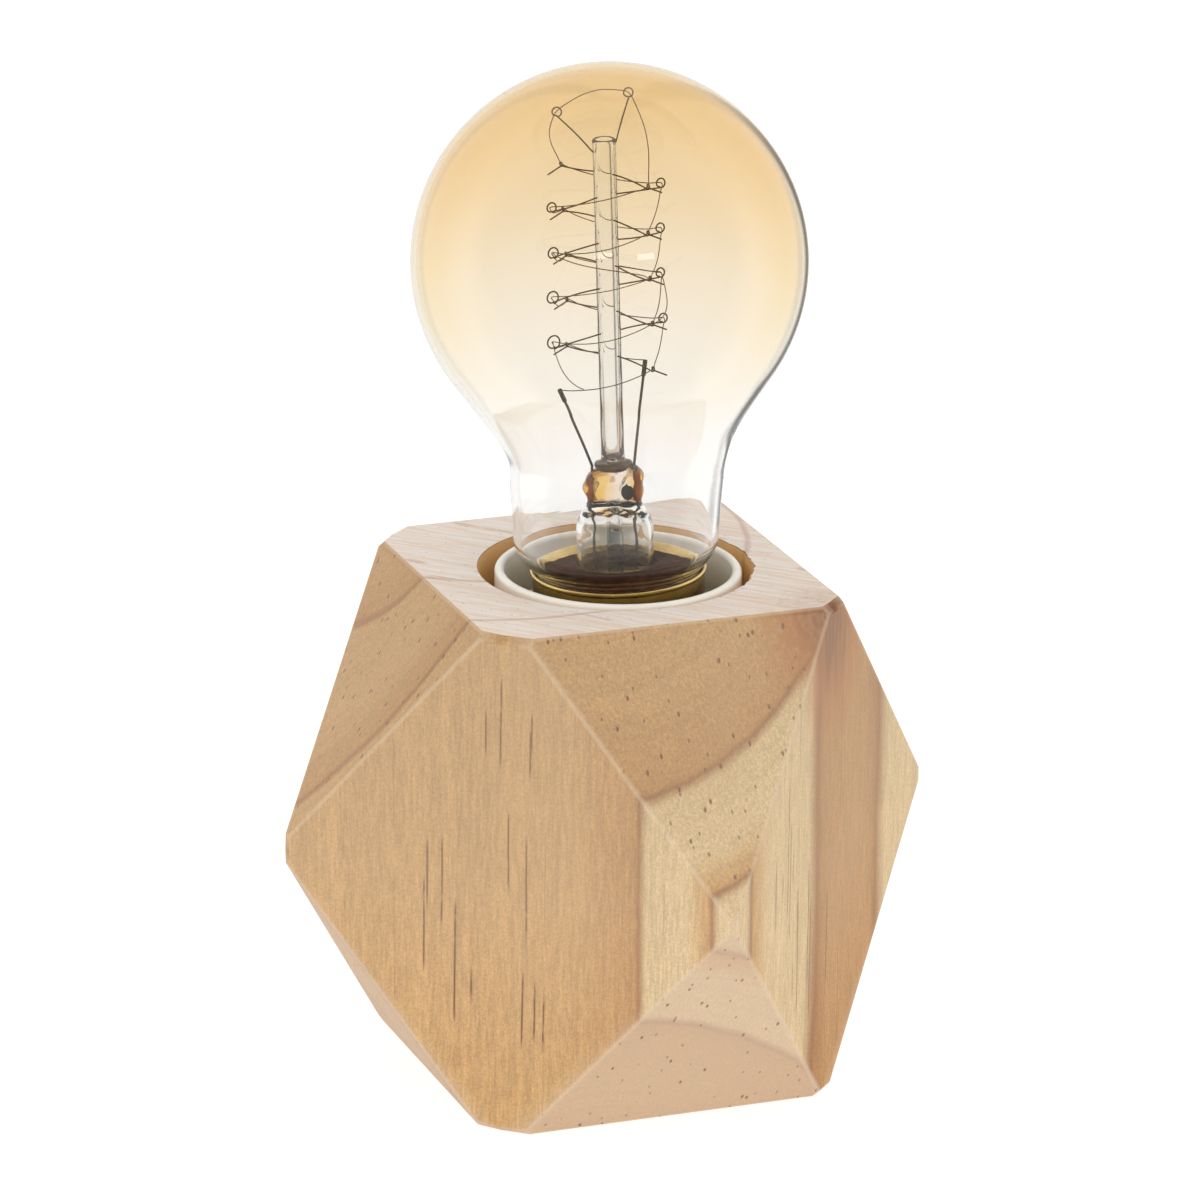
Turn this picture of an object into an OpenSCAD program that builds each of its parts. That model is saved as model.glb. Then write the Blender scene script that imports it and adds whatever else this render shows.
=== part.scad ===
// Bare bulb table lamp: a faceted wooden block, a plain skirted E27 lampholder
// let into its top, and a clear round bulb with a long spiral filament.
// Millimetres. Z is up, the origin is on the table under the middle of the block,
// and -Y is the large diamond face beside the corner that faces the viewer.

/* [Wooden block] */
// Width between opposite upright faces
block_w = 75; // [70:1:100]
// Height of the wood
block_h = 79.4; // [78:0.2:100]
// Half diagonal of the square top face
top_reach = 40.2; // [36:0.2:48]
// Half diagonal of the square underside
foot_reach = 40.3; // [36:0.2:48]
// Height where the upper corner cuts run out
upper_tip = 39.6; // [30:0.2:55]
// Height where the lower corner cuts run out
lower_tip = 39.5; // [25:0.2:50]
// How much deeper the upper cut at the right-hand corner goes
right_top_extra = 1.5; // [0:0.5:3]
// How much deeper the lower cut at the right-hand corner goes
right_foot_extra = 3; // [0:0.5:4]
// How much shallower both cuts at the left-hand corner are
left_spare = 1; // [0:0.5:2]
// Radius on every edge and corner
edge_r = 1.2; // [0.4:0.1:3]
// Thickness of the wooden web that carries the lampholder
web_t = 10; // [6:0.5:14]
// Diameter of the wire chamber under the web
chamber_d = 38; // [30:1:42]

/* [Lampholder] */
// Outer diameter of the lampholder
holder_d = 37.7; // [36.5:0.1:40]
// Height of the lampholder
holder_h = 53.4; // [51:0.2:60]
// Wall of the skirt at its rim
skirt_wall = 1.5; // [1.2:0.1:2.2]
// Radial gap between the lampholder and the wooden pocket
pocket_gap = 2.05; // [0.5:0.05:3]
// How far the rim stands above the wood
rim_proud = 0; // [0:0.1:4]
// Sideways shift of the pocket from the middle of the block
pocket_shift = 0.5; // [0:0.1:1]
// Sideways shift of the lampholder from the middle of the block
holder_shift = 1; // [0:0.1:1.5]
// Height of the threaded collar and of the insert's floor
collar_h = 3; // [2:0.2:4]
// Height of the tip of the centre contact above the insert's floor
contact_rise = 2.4; // [1.8:0.1:3.5]

/* [Screw thread] */
// Crest diameter of the thread on the bulb cap
thread_d = 26.2; // [26:0.05:26.4]
// Depth of the thread
thread_depth = 1; // [0.6:0.05:1.2]
// Pitch of the thread
thread_pitch = 3.63; // [3.5:0.01:3.8]
// Radial gap between the bulb cap and the screw shell
thread_gap = 0.3; // [0.15:0.05:0.5]
// Thickness of the screw shell's sheet
shell_wall = 0.45; // [0.3:0.05:0.6]

/* [Bulb] */
// Diameter of the round part of the glass
bulb_d = 60; // [50:1:80]
// Height of the middle of the round part above the cap rim
bulb_centre = 48.4; // [42:0.2:60]
// Diameter of the neck
neck_d = 32.6; // [29:0.2:34]
// Wall of the glass
glass_wall = 0.9; // [0.5:0.1:1]
// Overall length of the bulb cap with its contact
cap_len = 27; // [25:0.5:28]
// Diameter of the cap rim
cap_rim_d = 27; // [26.6:0.1:28]
// Angle by which the glass leans in its cap
lean = 2.15; // [0:0.05:3]
// Compass direction of the leaning plane, from +X towards +Y
lean_az = 24.35; // [0:0.05:360]

/* [Filament mount] */
// Outer diameter of the glass rod tube that carries the hooks
arbor_d = 3.5; // [2.5:0.1:5]
// Height of the open top of the tube above the cap rim
arbor_top = 67.4; // [60:0.2:70]
// Diameter of the flared stem tube
stem_d = 11.8; // [9:0.2:13]
// Width of the pressed seal of the stem
pinch_w = 8.8; // [7:0.2:10]
// Thickness of the pressed seal of the stem
pinch_t = 4.2; // [3:0.2:5.5]
// Height of the highest pair of side hooks
hook_top = 62.1; // [58:0.1:64]
// Height between one pair of hooks and the next
hook_step = 3.55; // [3.3:0.05:3.8]
// Number of pairs of side hooks
hook_pairs = 9; // [5:1:9]
// Reach of the hooks that end in a small crook
crook_reach = 8.2; // [6.5:0.1:9]
// Reach of the hooks that end in a round eye
eye_reach = 10.1; // [8:0.1:11]
// Diameter of the hook wire
hook_wire = 0.24; // [0.15:0.01:0.4]
// Diameter of the filament
filament_wire = 0.16; // [0.1:0.01:0.3]
// Diameter of the two lead wires
lead_wire = 0.42; // [0.3:0.02:0.8]
// Height of the tips of the lead wires
lead_top = 28.6; // [24:0.2:32]
// Sideways shift of the whole stem in the glass
stem_shift = -0.35; // [-0.6:0.05:0.6]

/* [Fixings and foot] */
// Outer diameter of the threaded nipple
nipple_d = 10; // [8:0.5:12]
// Bore of the nipple
nipple_bore = 7.5; // [5:0.5:9]
// Diameter of the felt pad
felt_d = 46; // [40:1:48]
// Thickness of the felt pad
felt_t = 1.3; // [1:0.1:2.5]
// How far the felt stands below the wood
felt_proud = 0.3; // [0.1:0.1:1]
// Bore of the cord inlet bush
inlet_d = 6.5; // [5:0.5:7]
// Height of the cord inlet above the underside of the wood
inlet_h = 10.5; // [9.5:0.1:12]
// Length of the cord inlet bush
inlet_len = 10; // [6:0.5:14]

/* [Hidden] */

round_fn = 96;      // smoothness of turned pieces
thread_sides = 30;  // sides of one thread section
thread_steps = 8;   // thread sections in one turn
eps = 0.01;

// Levels, from the table up
wood_z = felt_proud;
top_z = wood_z + block_h;
rim_z = top_z + rim_proud;
floor_z = rim_z - holder_h;
web_z = floor_z - web_t;
tip_z = rim_z - cap_len;
insert_z = tip_z - contact_rise;
collar_z = insert_z - collar_h;
skirt_z = collar_z - collar_h;
pocket_d = holder_d + 2 * pocket_gap;

// ---------------------------------------------------------------- wooden block

// The four upright corners, as the viewer sees them: left, near, right and far
CORNERS = [[-1, -1], [1, -1], [1, 1], [-1, 1]];
// How much deeper than the regular cut the cut at each corner goes
TOP_EXTRA = [-left_spare, 0, right_top_extra, 0];
FOOT_EXTRA = [-left_spare, 0, right_foot_extra, 0];

// A cut plane as [unit normal, distance]. The regular one goes through the top or
// bottom face at |x| + |y| = reach and through the upright corner line at the tip
// height, and extra moves it in along |x| + |y|
function cut(corner, dz, reach, run, extra) =
    let (n = [corner[0], corner[1], dz * (block_w - reach) / run], k = norm(n))
    [n / k, (reach - extra) / k, n[2] / k];

function flat_faces() = [
    for (s = [-1, 1]) [[s, 0, 0], block_w / 2],
    for (s = [-1, 1]) [[0, s, 0], block_w / 2],
    [[0, 0, 1], top_z],
    [[0, 0, -1], -wood_z]];

function corner_faces() = [
    for (i = [0 : 3])
        let (c = cut(CORNERS[i], 1, top_reach, block_h - upper_tip, TOP_EXTRA[i]))
        [c[0], c[1] + c[2] * top_z],
    for (i = [0 : 3])
        let (c = cut(CORNERS[i], -1, foot_reach, lower_tip, FOOT_EXTRA[i]))
        [c[0], c[1] + c[2] * wood_z]];

// Where three faces, each moved in by r, meet in one point
function meet(a, b, c, r) =
    let (bc = cross(b[0], c[0]), ca = cross(c[0], a[0]), ab = cross(a[0], b[0]))
    ((a[1] - r) * bc + (b[1] - r) * ca + (c[1] - r) * ab) / (a[0] * bc);

function inside(p, faces, r) =
    len([for (f = faces) if (f[0] * p > f[1] - r + eps) 1]) == 0;

// Every corner point of the solid that the faces enclose
function corner_points(faces, r) = [
    for (i = [0 : len(faces) - 3], j = [i + 1 : len(faces) - 2], k = [j + 1 : len(faces) - 1])
        if (abs(faces[i][0] * cross(faces[j][0], faces[k][0])) > eps)
            let (p = meet(faces[i], faces[j], faces[k], r))
            if (inside(p, faces, r)) p];

module wood_block() {
    points = corner_points(concat(flat_faces(), corner_faces()), edge_r);
    color("burlywood") difference() {
        hull() for (p = points) translate(p) sphere(r = edge_r, $fn = 24);
        translate([pocket_shift, 0, floor_z])
            cylinder(d = pocket_d, h = holder_h + 5, $fn = round_fn);
        translate([holder_shift, 0, web_z - 5])
            cylinder(d = nipple_d + 0.6, h = web_t + 10, $fn = round_fn);
        translate([0, 0, wood_z - 5])
            cylinder(d = chamber_d, h = web_z - wood_z + 5, $fn = round_fn);
        translate([0, 0, wood_z - 5])
            cylinder(d = felt_d + 0.2, h = felt_t - felt_proud + 5, $fn = round_fn);
        inlet_frame() {
            cylinder(d = inlet_flange_d + 0.1, h = 20, $fn = round_fn);
            translate([0, 0, -inlet_len + inlet_flange_t])
                cylinder(d = inlet_barrel_d + 0.1, h = 20, $fn = round_fn);
            translate([0, 0, -block_w / 2])
                cylinder(d = inlet_d + 1, h = block_w / 2 + 1, $fn = round_fn);
        }
    }
}

module felt_pad() {
    color("dimgray") cylinder(d = felt_d, h = felt_t, $fn = round_fn);
}

// ---------------------------------------------------------------- cord inlet

inlet_flange_t = 1.5;
inlet_flange_d = inlet_d + 5.5;
inlet_barrel_d = inlet_d + 2.5;

// Z of this frame points out of the back face, from the seat of the flange
module inlet_frame() {
    translate([0, block_w / 2 - inlet_flange_t, wood_z + inlet_h]) rotate([-90, 0, 0]) children();
}

module cord_inlet_bush() {
    barrel = inlet_len - inlet_flange_t;
    lead_in = 0.6;
    color("ivory") inlet_frame() rotate_extrude($fn = round_fn) polygon([
        [inlet_d / 2, -barrel],
        [inlet_barrel_d / 2, -barrel],
        [inlet_barrel_d / 2, 0],
        [inlet_flange_d / 2, 0],
        [inlet_flange_d / 2, inlet_flange_t],
        [inlet_d / 2 + lead_in, inlet_flange_t],
        [inlet_d / 2, inlet_flange_t - lead_in]]);
}

// ---------------------------------------------------------------- fixings under the web

washer_t = 1.6;
spring_t = 1;
nut_t = 3;
washer_over = 9;    // flat washer's diameter beyond the nipple's
spring_over = 5;    // spring washer's
nipple_grip = 6;    // length of nipple inside the lampholder's cap
nipple_tail = 1.2;  // length of nipple below the nut

module holder_axis(z) {
    translate([holder_shift, 0, z]) children();
}

module ring(outer, inner, h) {
    rotate_extrude($fn = round_fn)
        polygon([[inner / 2, 0], [outer / 2, 0], [outer / 2, h], [inner / 2, h]]);
}

module nipple() {
    low = web_z - washer_t - spring_t - nut_t - nipple_tail;
    color("gainsboro") holder_axis(low) ring(nipple_d, nipple_bore, floor_z + nipple_grip - low);
}

module flat_washer() {
    color("silver") holder_axis(web_z - washer_t) ring(nipple_d + washer_over, nipple_d + 0.4, washer_t);
}

module spring_washer() {
    slot = 1.2;
    color("darkgray") holder_axis(web_z - washer_t - spring_t) difference() {
        ring(nipple_d + spring_over, nipple_d + 0.4, spring_t);
        translate([0, -slot / 2, -1]) cube([nipple_d, slot, spring_t + 2]);
    }
}

module hex_nut() {
    across = nipple_d + 4;
    color("silver") holder_axis(web_z - washer_t - spring_t - nut_t) difference() {
        cylinder(d = across / cos(30), h = nut_t, $fn = 6);
        translate([0, 0, -1]) cylinder(d = nipple_d + 0.1, h = nut_t + 2, $fn = round_fn);
    }
}

// ---------------------------------------------------------------- lampholder

holder_r = holder_d / 2;
skirt_in = holder_r - skirt_wall;
joint_in = holder_r - 1.9;    // inside of the skirt where it screws onto the cap
shoulder_in = joint_in - 1;   // inside of the shoulder that clamps the insert
cup_r = shoulder_in - 0.2;    // outside of the insert's cup
cap_wall = 2;
collar_in = joint_in - cap_wall;

module holder_cap() {
    base_r = 12;
    taper_h = 7;
    z0 = floor_z;
    z1 = skirt_z;
    color("ivory") holder_axis(0) rotate_extrude($fn = round_fn) polygon([
        [nipple_d / 2 + 0.05, z0],
        [base_r, z0],
        [holder_r - 0.8, z0 + taper_h],
        [holder_r, z0 + taper_h + 2],
        [holder_r, z1],
        [joint_in - 0.05, z1],
        [joint_in - 0.05, collar_z],
        [collar_in, collar_z],
        [collar_in, z0 + taper_h + 2],
        [base_r - 1, z0 + nipple_grip],
        [nipple_d / 2 + 0.05, z0 + nipple_grip]]);
}

module holder_skirt() {
    lip = 0.5;
    flare_z = insert_z + 4;
    color("ivory") holder_axis(0) rotate_extrude($fn = round_fn) polygon(concat(
        [[joint_in, skirt_z], [holder_r, skirt_z]],
        [for (a = [0 : 30 : 90]) [holder_r - lip * (1 - cos(a)), rim_z - lip * (1 - sin(a))]],
        [for (a = [90 : 30 : 180]) [skirt_in + lip * (1 + cos(a)), rim_z - lip * (1 - sin(a))]],
        [[skirt_in, flare_z],
         [shoulder_in, flare_z - 1.2],
         [shoulder_in, insert_z],
         [joint_in, insert_z]]));
}

ledge_h = 6.4;               // height of the screw shell's seat inside the insert's cup
ledge_z = insert_z + ledge_h;
cup_top = ledge_z + 3.6;
shell_out = thread_d / 2 + thread_gap + shell_wall + 0.35;
ledge_in = shell_out - 0.8;
rivet_x = 8;
rivet_d = 2.5;
foot_t = 0.4;
strip_w = 5;

module contact_insert() {
    color("whitesmoke") holder_axis(0) difference() {
        rotate_extrude($fn = round_fn) polygon([
            [0, collar_z],
            [joint_in - 0.1, collar_z],
            [joint_in - 0.1, insert_z],
            [cup_r, insert_z],
            [cup_r, cup_top],
            [shell_out + 0.05, cup_top],
            [shell_out + 0.05, ledge_z],
            [ledge_in, ledge_z],
            [ledge_in, insert_z],
            [0, insert_z]]);
        for (s = [-1, 1]) translate([s * rivet_x, 0, collar_z - 1])
            cylinder(d = rivet_d + 0.05, h = collar_h + 2, $fn = round_fn);
    }
}

// One ring of a right-hand thread: its radius swings by the thread depth
// once a turn, and the swing turns as it rises
function thread_ring(r, z) = [
    for (k = [0 : thread_sides - 1])
        let (az = 360 * k / thread_sides, swing = cos(az - 360 * (z - rim_z) / thread_pitch),
            reach = r + thread_depth / 2 * swing)
        [reach * cos(az), reach * sin(az), z]];

// Triangles between two closed rings of points that start at a and b
function band(a, b, n) = [
    for (k = [0 : n - 1], half = [0, 1])
        let (m = (k + 1) % n)
        half == 0 ? [a + k, b + k, a + m] : [a + m, b + k, b + m]];

function thread_count(z0, z1) = ceil(thread_steps * (z1 - z0) / thread_pitch);

module thread_solid(r, z0, z1) {
    n = thread_sides;
    steps = thread_count(z0, z1);
    points = [for (i = [0 : steps]) each thread_ring(r, z0 + (z1 - z0) * i / steps)];
    walls = [for (i = [0 : steps - 1]) each band(i * n, (i + 1) * n, n)];
    polyhedron(points = points, faces = concat(walls,
        [[for (k = [0 : n - 1]) k]], [[for (k = [n - 1 : -1 : 0]) steps * n + k]]));
}

// A thin threaded sheet between two radii
module thread_sheet(r_in, r_out, z0, z1) {
    n = thread_sides;
    steps = thread_count(z0, z1);
    inner = (steps + 1) * n;
    points = [for (r = [r_out, r_in], i = [0 : steps])
        each thread_ring(r, z0 + (z1 - z0) * i / steps)];
    polyhedron(points = points, faces = concat(
        [for (i = [0 : steps - 1]) each band(i * n, (i + 1) * n, n)],
        [for (i = [0 : steps - 1]) each band(inner + (i + 1) * n, inner + i * n, n)],
        band(inner, 0, n),
        band(steps * n, inner + steps * n, n)));
}

male_r = (thread_d - thread_depth) / 2;
female_r = male_r + thread_gap;
shell_top = rim_z - 5.2;

module screw_shell() {
    ring_h = 1.4;
    bead_h = 0.9;
    lap = 0.5;
    seat_in = female_r - thread_depth / 2 + 0.1;
    bead_in = female_r + thread_depth / 2;
    color("goldenrod") {
        holder_axis(0) thread_sheet(female_r, female_r + shell_wall,
            ledge_z + ring_h - lap, shell_top - bead_h + lap);
        holder_axis(ledge_z) ring(2 * shell_out, 2 * seat_in, ring_h);
        holder_axis(shell_top - bead_h) ring(2 * shell_out, 2 * bead_in, bead_h);
    }
}

// The spring tongue turns on the bend beside its foot
hinge_x = -5.6;
tongue_t = 0.35;

module centre_contact() {
    root_z = insert_z + foot_t + tongue_t / 2 + 0.1;
    top = tip_z;
    color("peru") holder_axis(0) translate([0, strip_w / 2, 0]) rotate([90, 0, 0])
        linear_extrude(height = strip_w) polygon([
            [hinge_x + 0.05, root_z - tongue_t / 2],
            [-1.6, top - tongue_t - 0.15],
            [1.6, top - tongue_t - 0.15],
            [3, top - tongue_t - 0.9],
            [3.3, top - 0.7],
            [1.8, top],
            [-1.8, top],
            [hinge_x + 0.05, root_z + tongue_t / 2]]);
}

module centre_foot() {
    color("peru") holder_axis(insert_z) difference() {
        translate([-rivet_x - 2.4, -strip_w / 2, 0])
            cube([hinge_x - 0.05 + rivet_x + 2.4, strip_w, foot_t]);
        translate([-rivet_x, 0, -1]) cylinder(d = rivet_d + 0.05, h = 3, $fn = round_fn);
    }
}

module side_contact() {
    outer = ledge_in - 0.1;
    color("peru") holder_axis(insert_z) difference() {
        union() {
            translate([rivet_x - 2.4, -strip_w / 2, 0])
                cube([outer - 0.3 - rivet_x + 2.4, strip_w, foot_t]);
            intersection() {
                ring(2 * outer, 2 * (outer - foot_t), ledge_z - insert_z);
                translate([outer - 1, -strip_w / 2, 0]) cube([2, strip_w, ledge_z - insert_z]);
            }
        }
        translate([rivet_x, 0, -1]) cylinder(d = rivet_d + 0.05, h = 3, $fn = round_fn);
    }
}

module contact_rivets() {
    head_t = 0.7;
    color("darkgoldenrod") holder_axis(collar_z) for (s = [-1, 1]) translate([s * rivet_x, 0, 0]) {
        cylinder(d = rivet_d, h = collar_h + foot_t + head_t, $fn = round_fn);
        translate([0, 0, collar_h + foot_t])
            cylinder(d1 = rivet_d + 1.6, d2 = rivet_d + 0.8, h = head_t, $fn = round_fn);
    }
}

block_x = 5.5;
block_y = 6.5;
block_z = 7;
screw_d = 3;

module terminal_blocks() {
    wire_d = 2.6;
    color("goldenrod") holder_axis(collar_z - block_z) for (s = [-1, 1]) difference() {
        translate([s * rivet_x - block_x / 2, -block_y / 2, 0]) cube([block_x, block_y, block_z]);
        translate([s * rivet_x, 0, -1]) cylinder(d = wire_d, h = block_z - 1, $fn = round_fn);
        translate([s * rivet_x, 0, block_z / 2]) rotate([0, s * 90, 0])
            cylinder(d = screw_d + 0.05, h = block_x, $fn = round_fn);
    }
}

module terminal_screws() {
    head_d = 4.6;
    head_t = 1.6;
    slot = 0.7;
    color("silver") holder_axis(collar_z - block_z / 2) for (s = [-1, 1])
        translate([s * (rivet_x + block_x / 2), 0, 0]) rotate([0, s * 90, 0]) difference() {
            union() {
                translate([0, 0, -1.2]) cylinder(d = screw_d, h = 1.2 + head_t / 2, $fn = round_fn);
                cylinder(d = head_d, h = head_t, $fn = round_fn);
            }
            translate([-head_d, -slot / 2, head_t - 0.8]) cube([2 * head_d, slot, 2]);
        }
}

// ---------------------------------------------------------------- bulb cap

// Levels below the cap rim
skirt_len = 4;        // plain, leaning part of the cap under the rim
taper_from = 21;      // end of the thread
taper_to = 22.4;      // start of the black insulator
insulator_to = 26;    // start of the contact
insulator_r = 9.3;
contact_r = 4.8;
cap_bore = male_r - thread_depth / 2 - 0.5;
cap_mouth = cap_rim_d / 2 - 0.7;

// Frame of the leaning glass: origin in the middle of the cap rim, Z along the
// glass, X to the viewer's right, -Y towards the viewer
module glass_frame() {
    holder_axis(rim_z) rotate([0, 0, lean_az]) rotate([0, -lean, 0]) children();
}

module bulb_cap() {
    lip = 0.35;
    rim_r = cap_rim_d / 2;
    color("gold") difference() {
        union() {
            holder_axis(0) thread_solid(male_r, rim_z - taper_from, rim_z - skirt_len + 0.3);
            holder_axis(rim_z - taper_to)
                cylinder(r1 = insulator_r + 0.4, r2 = male_r - thread_depth / 2,
                    h = taper_to - taper_from, $fn = round_fn);
            glass_frame() translate([0, 0, -skirt_len]) {
                cylinder(r = rim_r - lip, h = skirt_len - 0.4, $fn = round_fn);
                translate([0, 0, skirt_len - 0.8])
                    cylinder(r1 = rim_r - lip, r2 = rim_r, h = 0.8, $fn = round_fn);
            }
        }
        glass_frame() translate([0, 0, -skirt_len + 0.5])
            cylinder(r = cap_mouth, h = skirt_len + 1, $fn = round_fn);
        holder_axis(rim_z - taper_from) cylinder(r = cap_bore, h = taper_from + 1, $fn = round_fn);
        holder_axis(rim_z - taper_to - 1) cylinder(r = insulator_r - 1, h = 3, $fn = round_fn);
    }
}

module cap_insulator() {
    color("black") holder_axis(rim_z) rotate_extrude($fn = round_fn) polygon([
        [1.4, -insulator_to],
        [contact_r + 0.7, -insulator_to],
        [insulator_r, -taper_to],
        [insulator_r - 1, -taper_to],
        [insulator_r - 1, -taper_to + 1.4],
        [insulator_r - 2.5, -taper_to + 1.4],
        [1.4, -insulator_to + 1.2]]);
}

// Contact disc with its solder blob, whose bottom is the end of the bulb
module contact_tip() {
    blob_r = 2.4;
    disc_t = 0.5;
    rise = cap_len - insulator_to - disc_t;
    color("lightgray") holder_axis(rim_z) rotate_extrude($fn = round_fn) polygon([
        [0, -cap_len],
        [blob_r * 0.6, -cap_len + rise * 0.15],
        [blob_r, -cap_len + rise],
        [contact_r - 0.3, -cap_len + rise],
        [contact_r, -insulator_to - disc_t * 0.5],
        [contact_r, -insulator_to],
        [1.35, -insulator_to],
        [1.35, -insulator_to + 1],
        [0, -insulator_to + 1]]);
}

module side_solder() {
    side = cap_rim_d / 2 - 0.35;
    color("lightgray") glass_frame() rotate([0, 0, 60]) translate([side + 0.01, 0, -2.2])
        rotate([0, 90, 0]) cylinder(d1 = 2.6, d2 = 1.2, h = 0.5, $fn = round_fn);
}

// ---------------------------------------------------------------- glass

bulb_r = bulb_d / 2;
neck_r = neck_d / 2;
neck_end = -3.2;    // the neck ends inside the plain part of the cap
rim_glass_r = cap_mouth - 0.1;
round_to = 124;     // angle from the top where the round part ends
neck_draw = 8.9;    // how far the round part's slope is drawn on into the neck

function bezier(a, b, c, d, t) =
    pow(1 - t, 3) * a + 3 * t * pow(1 - t, 2) * b + 3 * t * t * (1 - t) * c + pow(t, 3) * d;

// Half outline of the glass, from the top down, moved in by w
function glass_outline(w) =
    let (r = bulb_r - w,
        from = [r * sin(round_to), bulb_centre + r * cos(round_to)],
        slope = [cos(round_to), -sin(round_to)],
        neck = [neck_r - w, 15.5],
        low = [neck_r - 0.65 - w, 5])
    concat(
        [for (a = [0 : 4 : round_to]) [r * sin(a), bulb_centre + r * cos(a)]],
        [for (t = [0.125 : 0.125 : 1])
            bezier(from, from + neck_draw * slope, neck + [0.35, 5], neck, t)],
        [for (t = [0.2 : 0.2 : 1])
            bezier(low, low - [0, 2.2], [rim_glass_r - w + 1, 1.2], [rim_glass_r - w, 0], t)],
        [[rim_glass_r - 0.3 - w, neck_end]]);

function reversed(list) = [for (i = [len(list) - 1 : -1 : 0]) list[i]];

module bulb_glass() {
    color([1, 0.85, 0.6, 0.35]) glass_frame() rotate_extrude($fn = round_fn)
        polygon(concat(glass_outline(0), reversed(glass_outline(glass_wall))));
}

// Burnt cement: a ring between the neck and the cap, and a floor below the flare
module capping_cement() {
    color("saddlebrown") glass_frame() {
        translate([0, 0, neck_end]) ring(2 * cap_mouth - 0.04, 2 * rim_glass_r - 0.2, 1.2);
        translate([0, 0, seal_z - 1.2]) ring(2 * flare_r, stem_d + 0.8, 1.15);
    }
}

// ---------------------------------------------------------------- stem

module stem_frame() {
    glass_frame() translate([stem_shift, 0, 0]) children();
}

pinch_z0 = 9.6;
pinch_z1 = 16.9;
stem_wall = 0.7;
seal_z = -0.9;      // where the flare is fused to the inside of the neck
flare_r = rim_glass_r - 0.2 - glass_wall - abs(stem_shift);
lead_side = 3.2;
exhaust_r = 1.25;
exhaust_end = -19;

module stem_flare() {
    r = stem_d / 2;
    dome = 3.4;
    soft = 1;
    color([0.9, 0.9, 0.9, 0.5]) stem_frame() difference() {
        union() {
            rotate_extrude($fn = round_fn) polygon(concat(
                [[flare_r, seal_z],
                 [flare_r, seal_z + 0.7],
                 [r + 1.2, seal_z + 1.6],
                 [r, seal_z + 4]],
                [for (a = [0 : 15 : 60]) [r * cos(a), pinch_z0 - dome * 0.87 + dome * sin(a)]],
                [[0, pinch_z0],
                 [0, pinch_z0 - stem_wall]],
                [for (a = [60 : -15 : 0])
                    [(r - stem_wall) * cos(a), pinch_z0 - stem_wall - dome * 0.87 + dome * sin(a)]],
                [[r - stem_wall, seal_z + 4],
                 [r + 0.5, seal_z + 0.7],
                 [r + 1.2, seal_z]]));
            hull() for (x = [-1, 1], y = [-1, 1], z = [pinch_z0, pinch_z1 - soft])
                translate([x * (pinch_w / 2 - soft), y * (pinch_t / 2 - soft), z])
                    sphere(r = soft, $fn = 16);
        }
        for (x = [-1, 1]) translate([x * lead_side, 0, pinch_z0 - 4])
            cylinder(d = lead_wire + 0.06, h = pinch_z1 - pinch_z0 + 8, $fn = 24);
        translate([0, 0, exhaust_end]) cylinder(r = exhaust_r + 0.05,
            h = pinch_z0 - stem_wall - exhaust_end + 0.4, $fn = round_fn);
    }
}

module exhaust_tube() {
    top = pinch_z0 - stem_wall + 0.3;
    color([0.9, 0.9, 0.9, 0.5]) stem_frame() rotate_extrude($fn = round_fn) polygon([
        [0, exhaust_end],
        [exhaust_r * 0.5, exhaust_end + 0.3],
        [exhaust_r, exhaust_end + 2.4],
        [exhaust_r, top],
        [exhaust_r - 0.4, top],
        [exhaust_r - 0.4, exhaust_end + 2.8],
        [0, exhaust_end + 1.4]]);
}

arbor_r = arbor_d / 2;

module arbor_tube() {
    color([0.95, 0.9, 0.8, 0.5]) stem_frame() translate([0, 0, pinch_z1]) {
        h = arbor_top - pinch_z1;
        rotate_extrude($fn = 48) polygon([
            [arbor_r - 0.5, 0],
            [arbor_r, 0],
            [arbor_r, h - 0.2],
            [arbor_r - 0.15, h],
            [arbor_r - 0.35, h],
            [arbor_r - 0.5, h - 0.2]]);
    }
}

// ---------------------------------------------------------------- wires

function unit(v) = v / norm(v);
function along(p, i) = unit(p[min(i + 1, len(p) - 1)] - p[max(i - 1, 0)]);
function across(n, t) = unit(n - (n * t) * t);
function first_across(t) = across(abs(t[2]) < 0.9 ? [0, 0, 1] : [1, 0, 0], t);

// A round wire swept along points, as a closed solid of triangles
module wire(p, d, sides = 6) {
    count = len(p);
    normals = [for (i = 0, n = first_across(along(p, 0)); i < count;
        i = i + 1, n = i < count ? across(n, along(p, i)) : n) n];
    rings = [for (i = [0 : count - 1], k = [0 : sides - 1])
        let (t = along(p, i), n = normals[i], b = cross(t, n), a = 360 * k / sides)
        p[i] + d / 2 * (cos(a) * n + sin(a) * b)];
    points = concat(rings, [p[0], p[count - 1]]);
    walls = [for (i = [0 : count - 2], k = [0 : sides - 1], half = [0, 1])
        let (a = i * sides + k, b = i * sides + (k + 1) % sides)
        half == 0 ? [a, a + sides, b] : [b, a + sides, b + sides]];
    ends = [for (k = [0 : sides - 1], end = [0, 1])
        let (m = (k + 1) % sides, low = (count - 1) * sides)
        end == 0 ? [k, m, count * sides] : [low + m, low + k, count * sides + 1]];
    polyhedron(points = points, faces = concat(walls, ends));
}

function polar(az, r, z) = [r * cos(az), r * sin(az), z];

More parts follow.
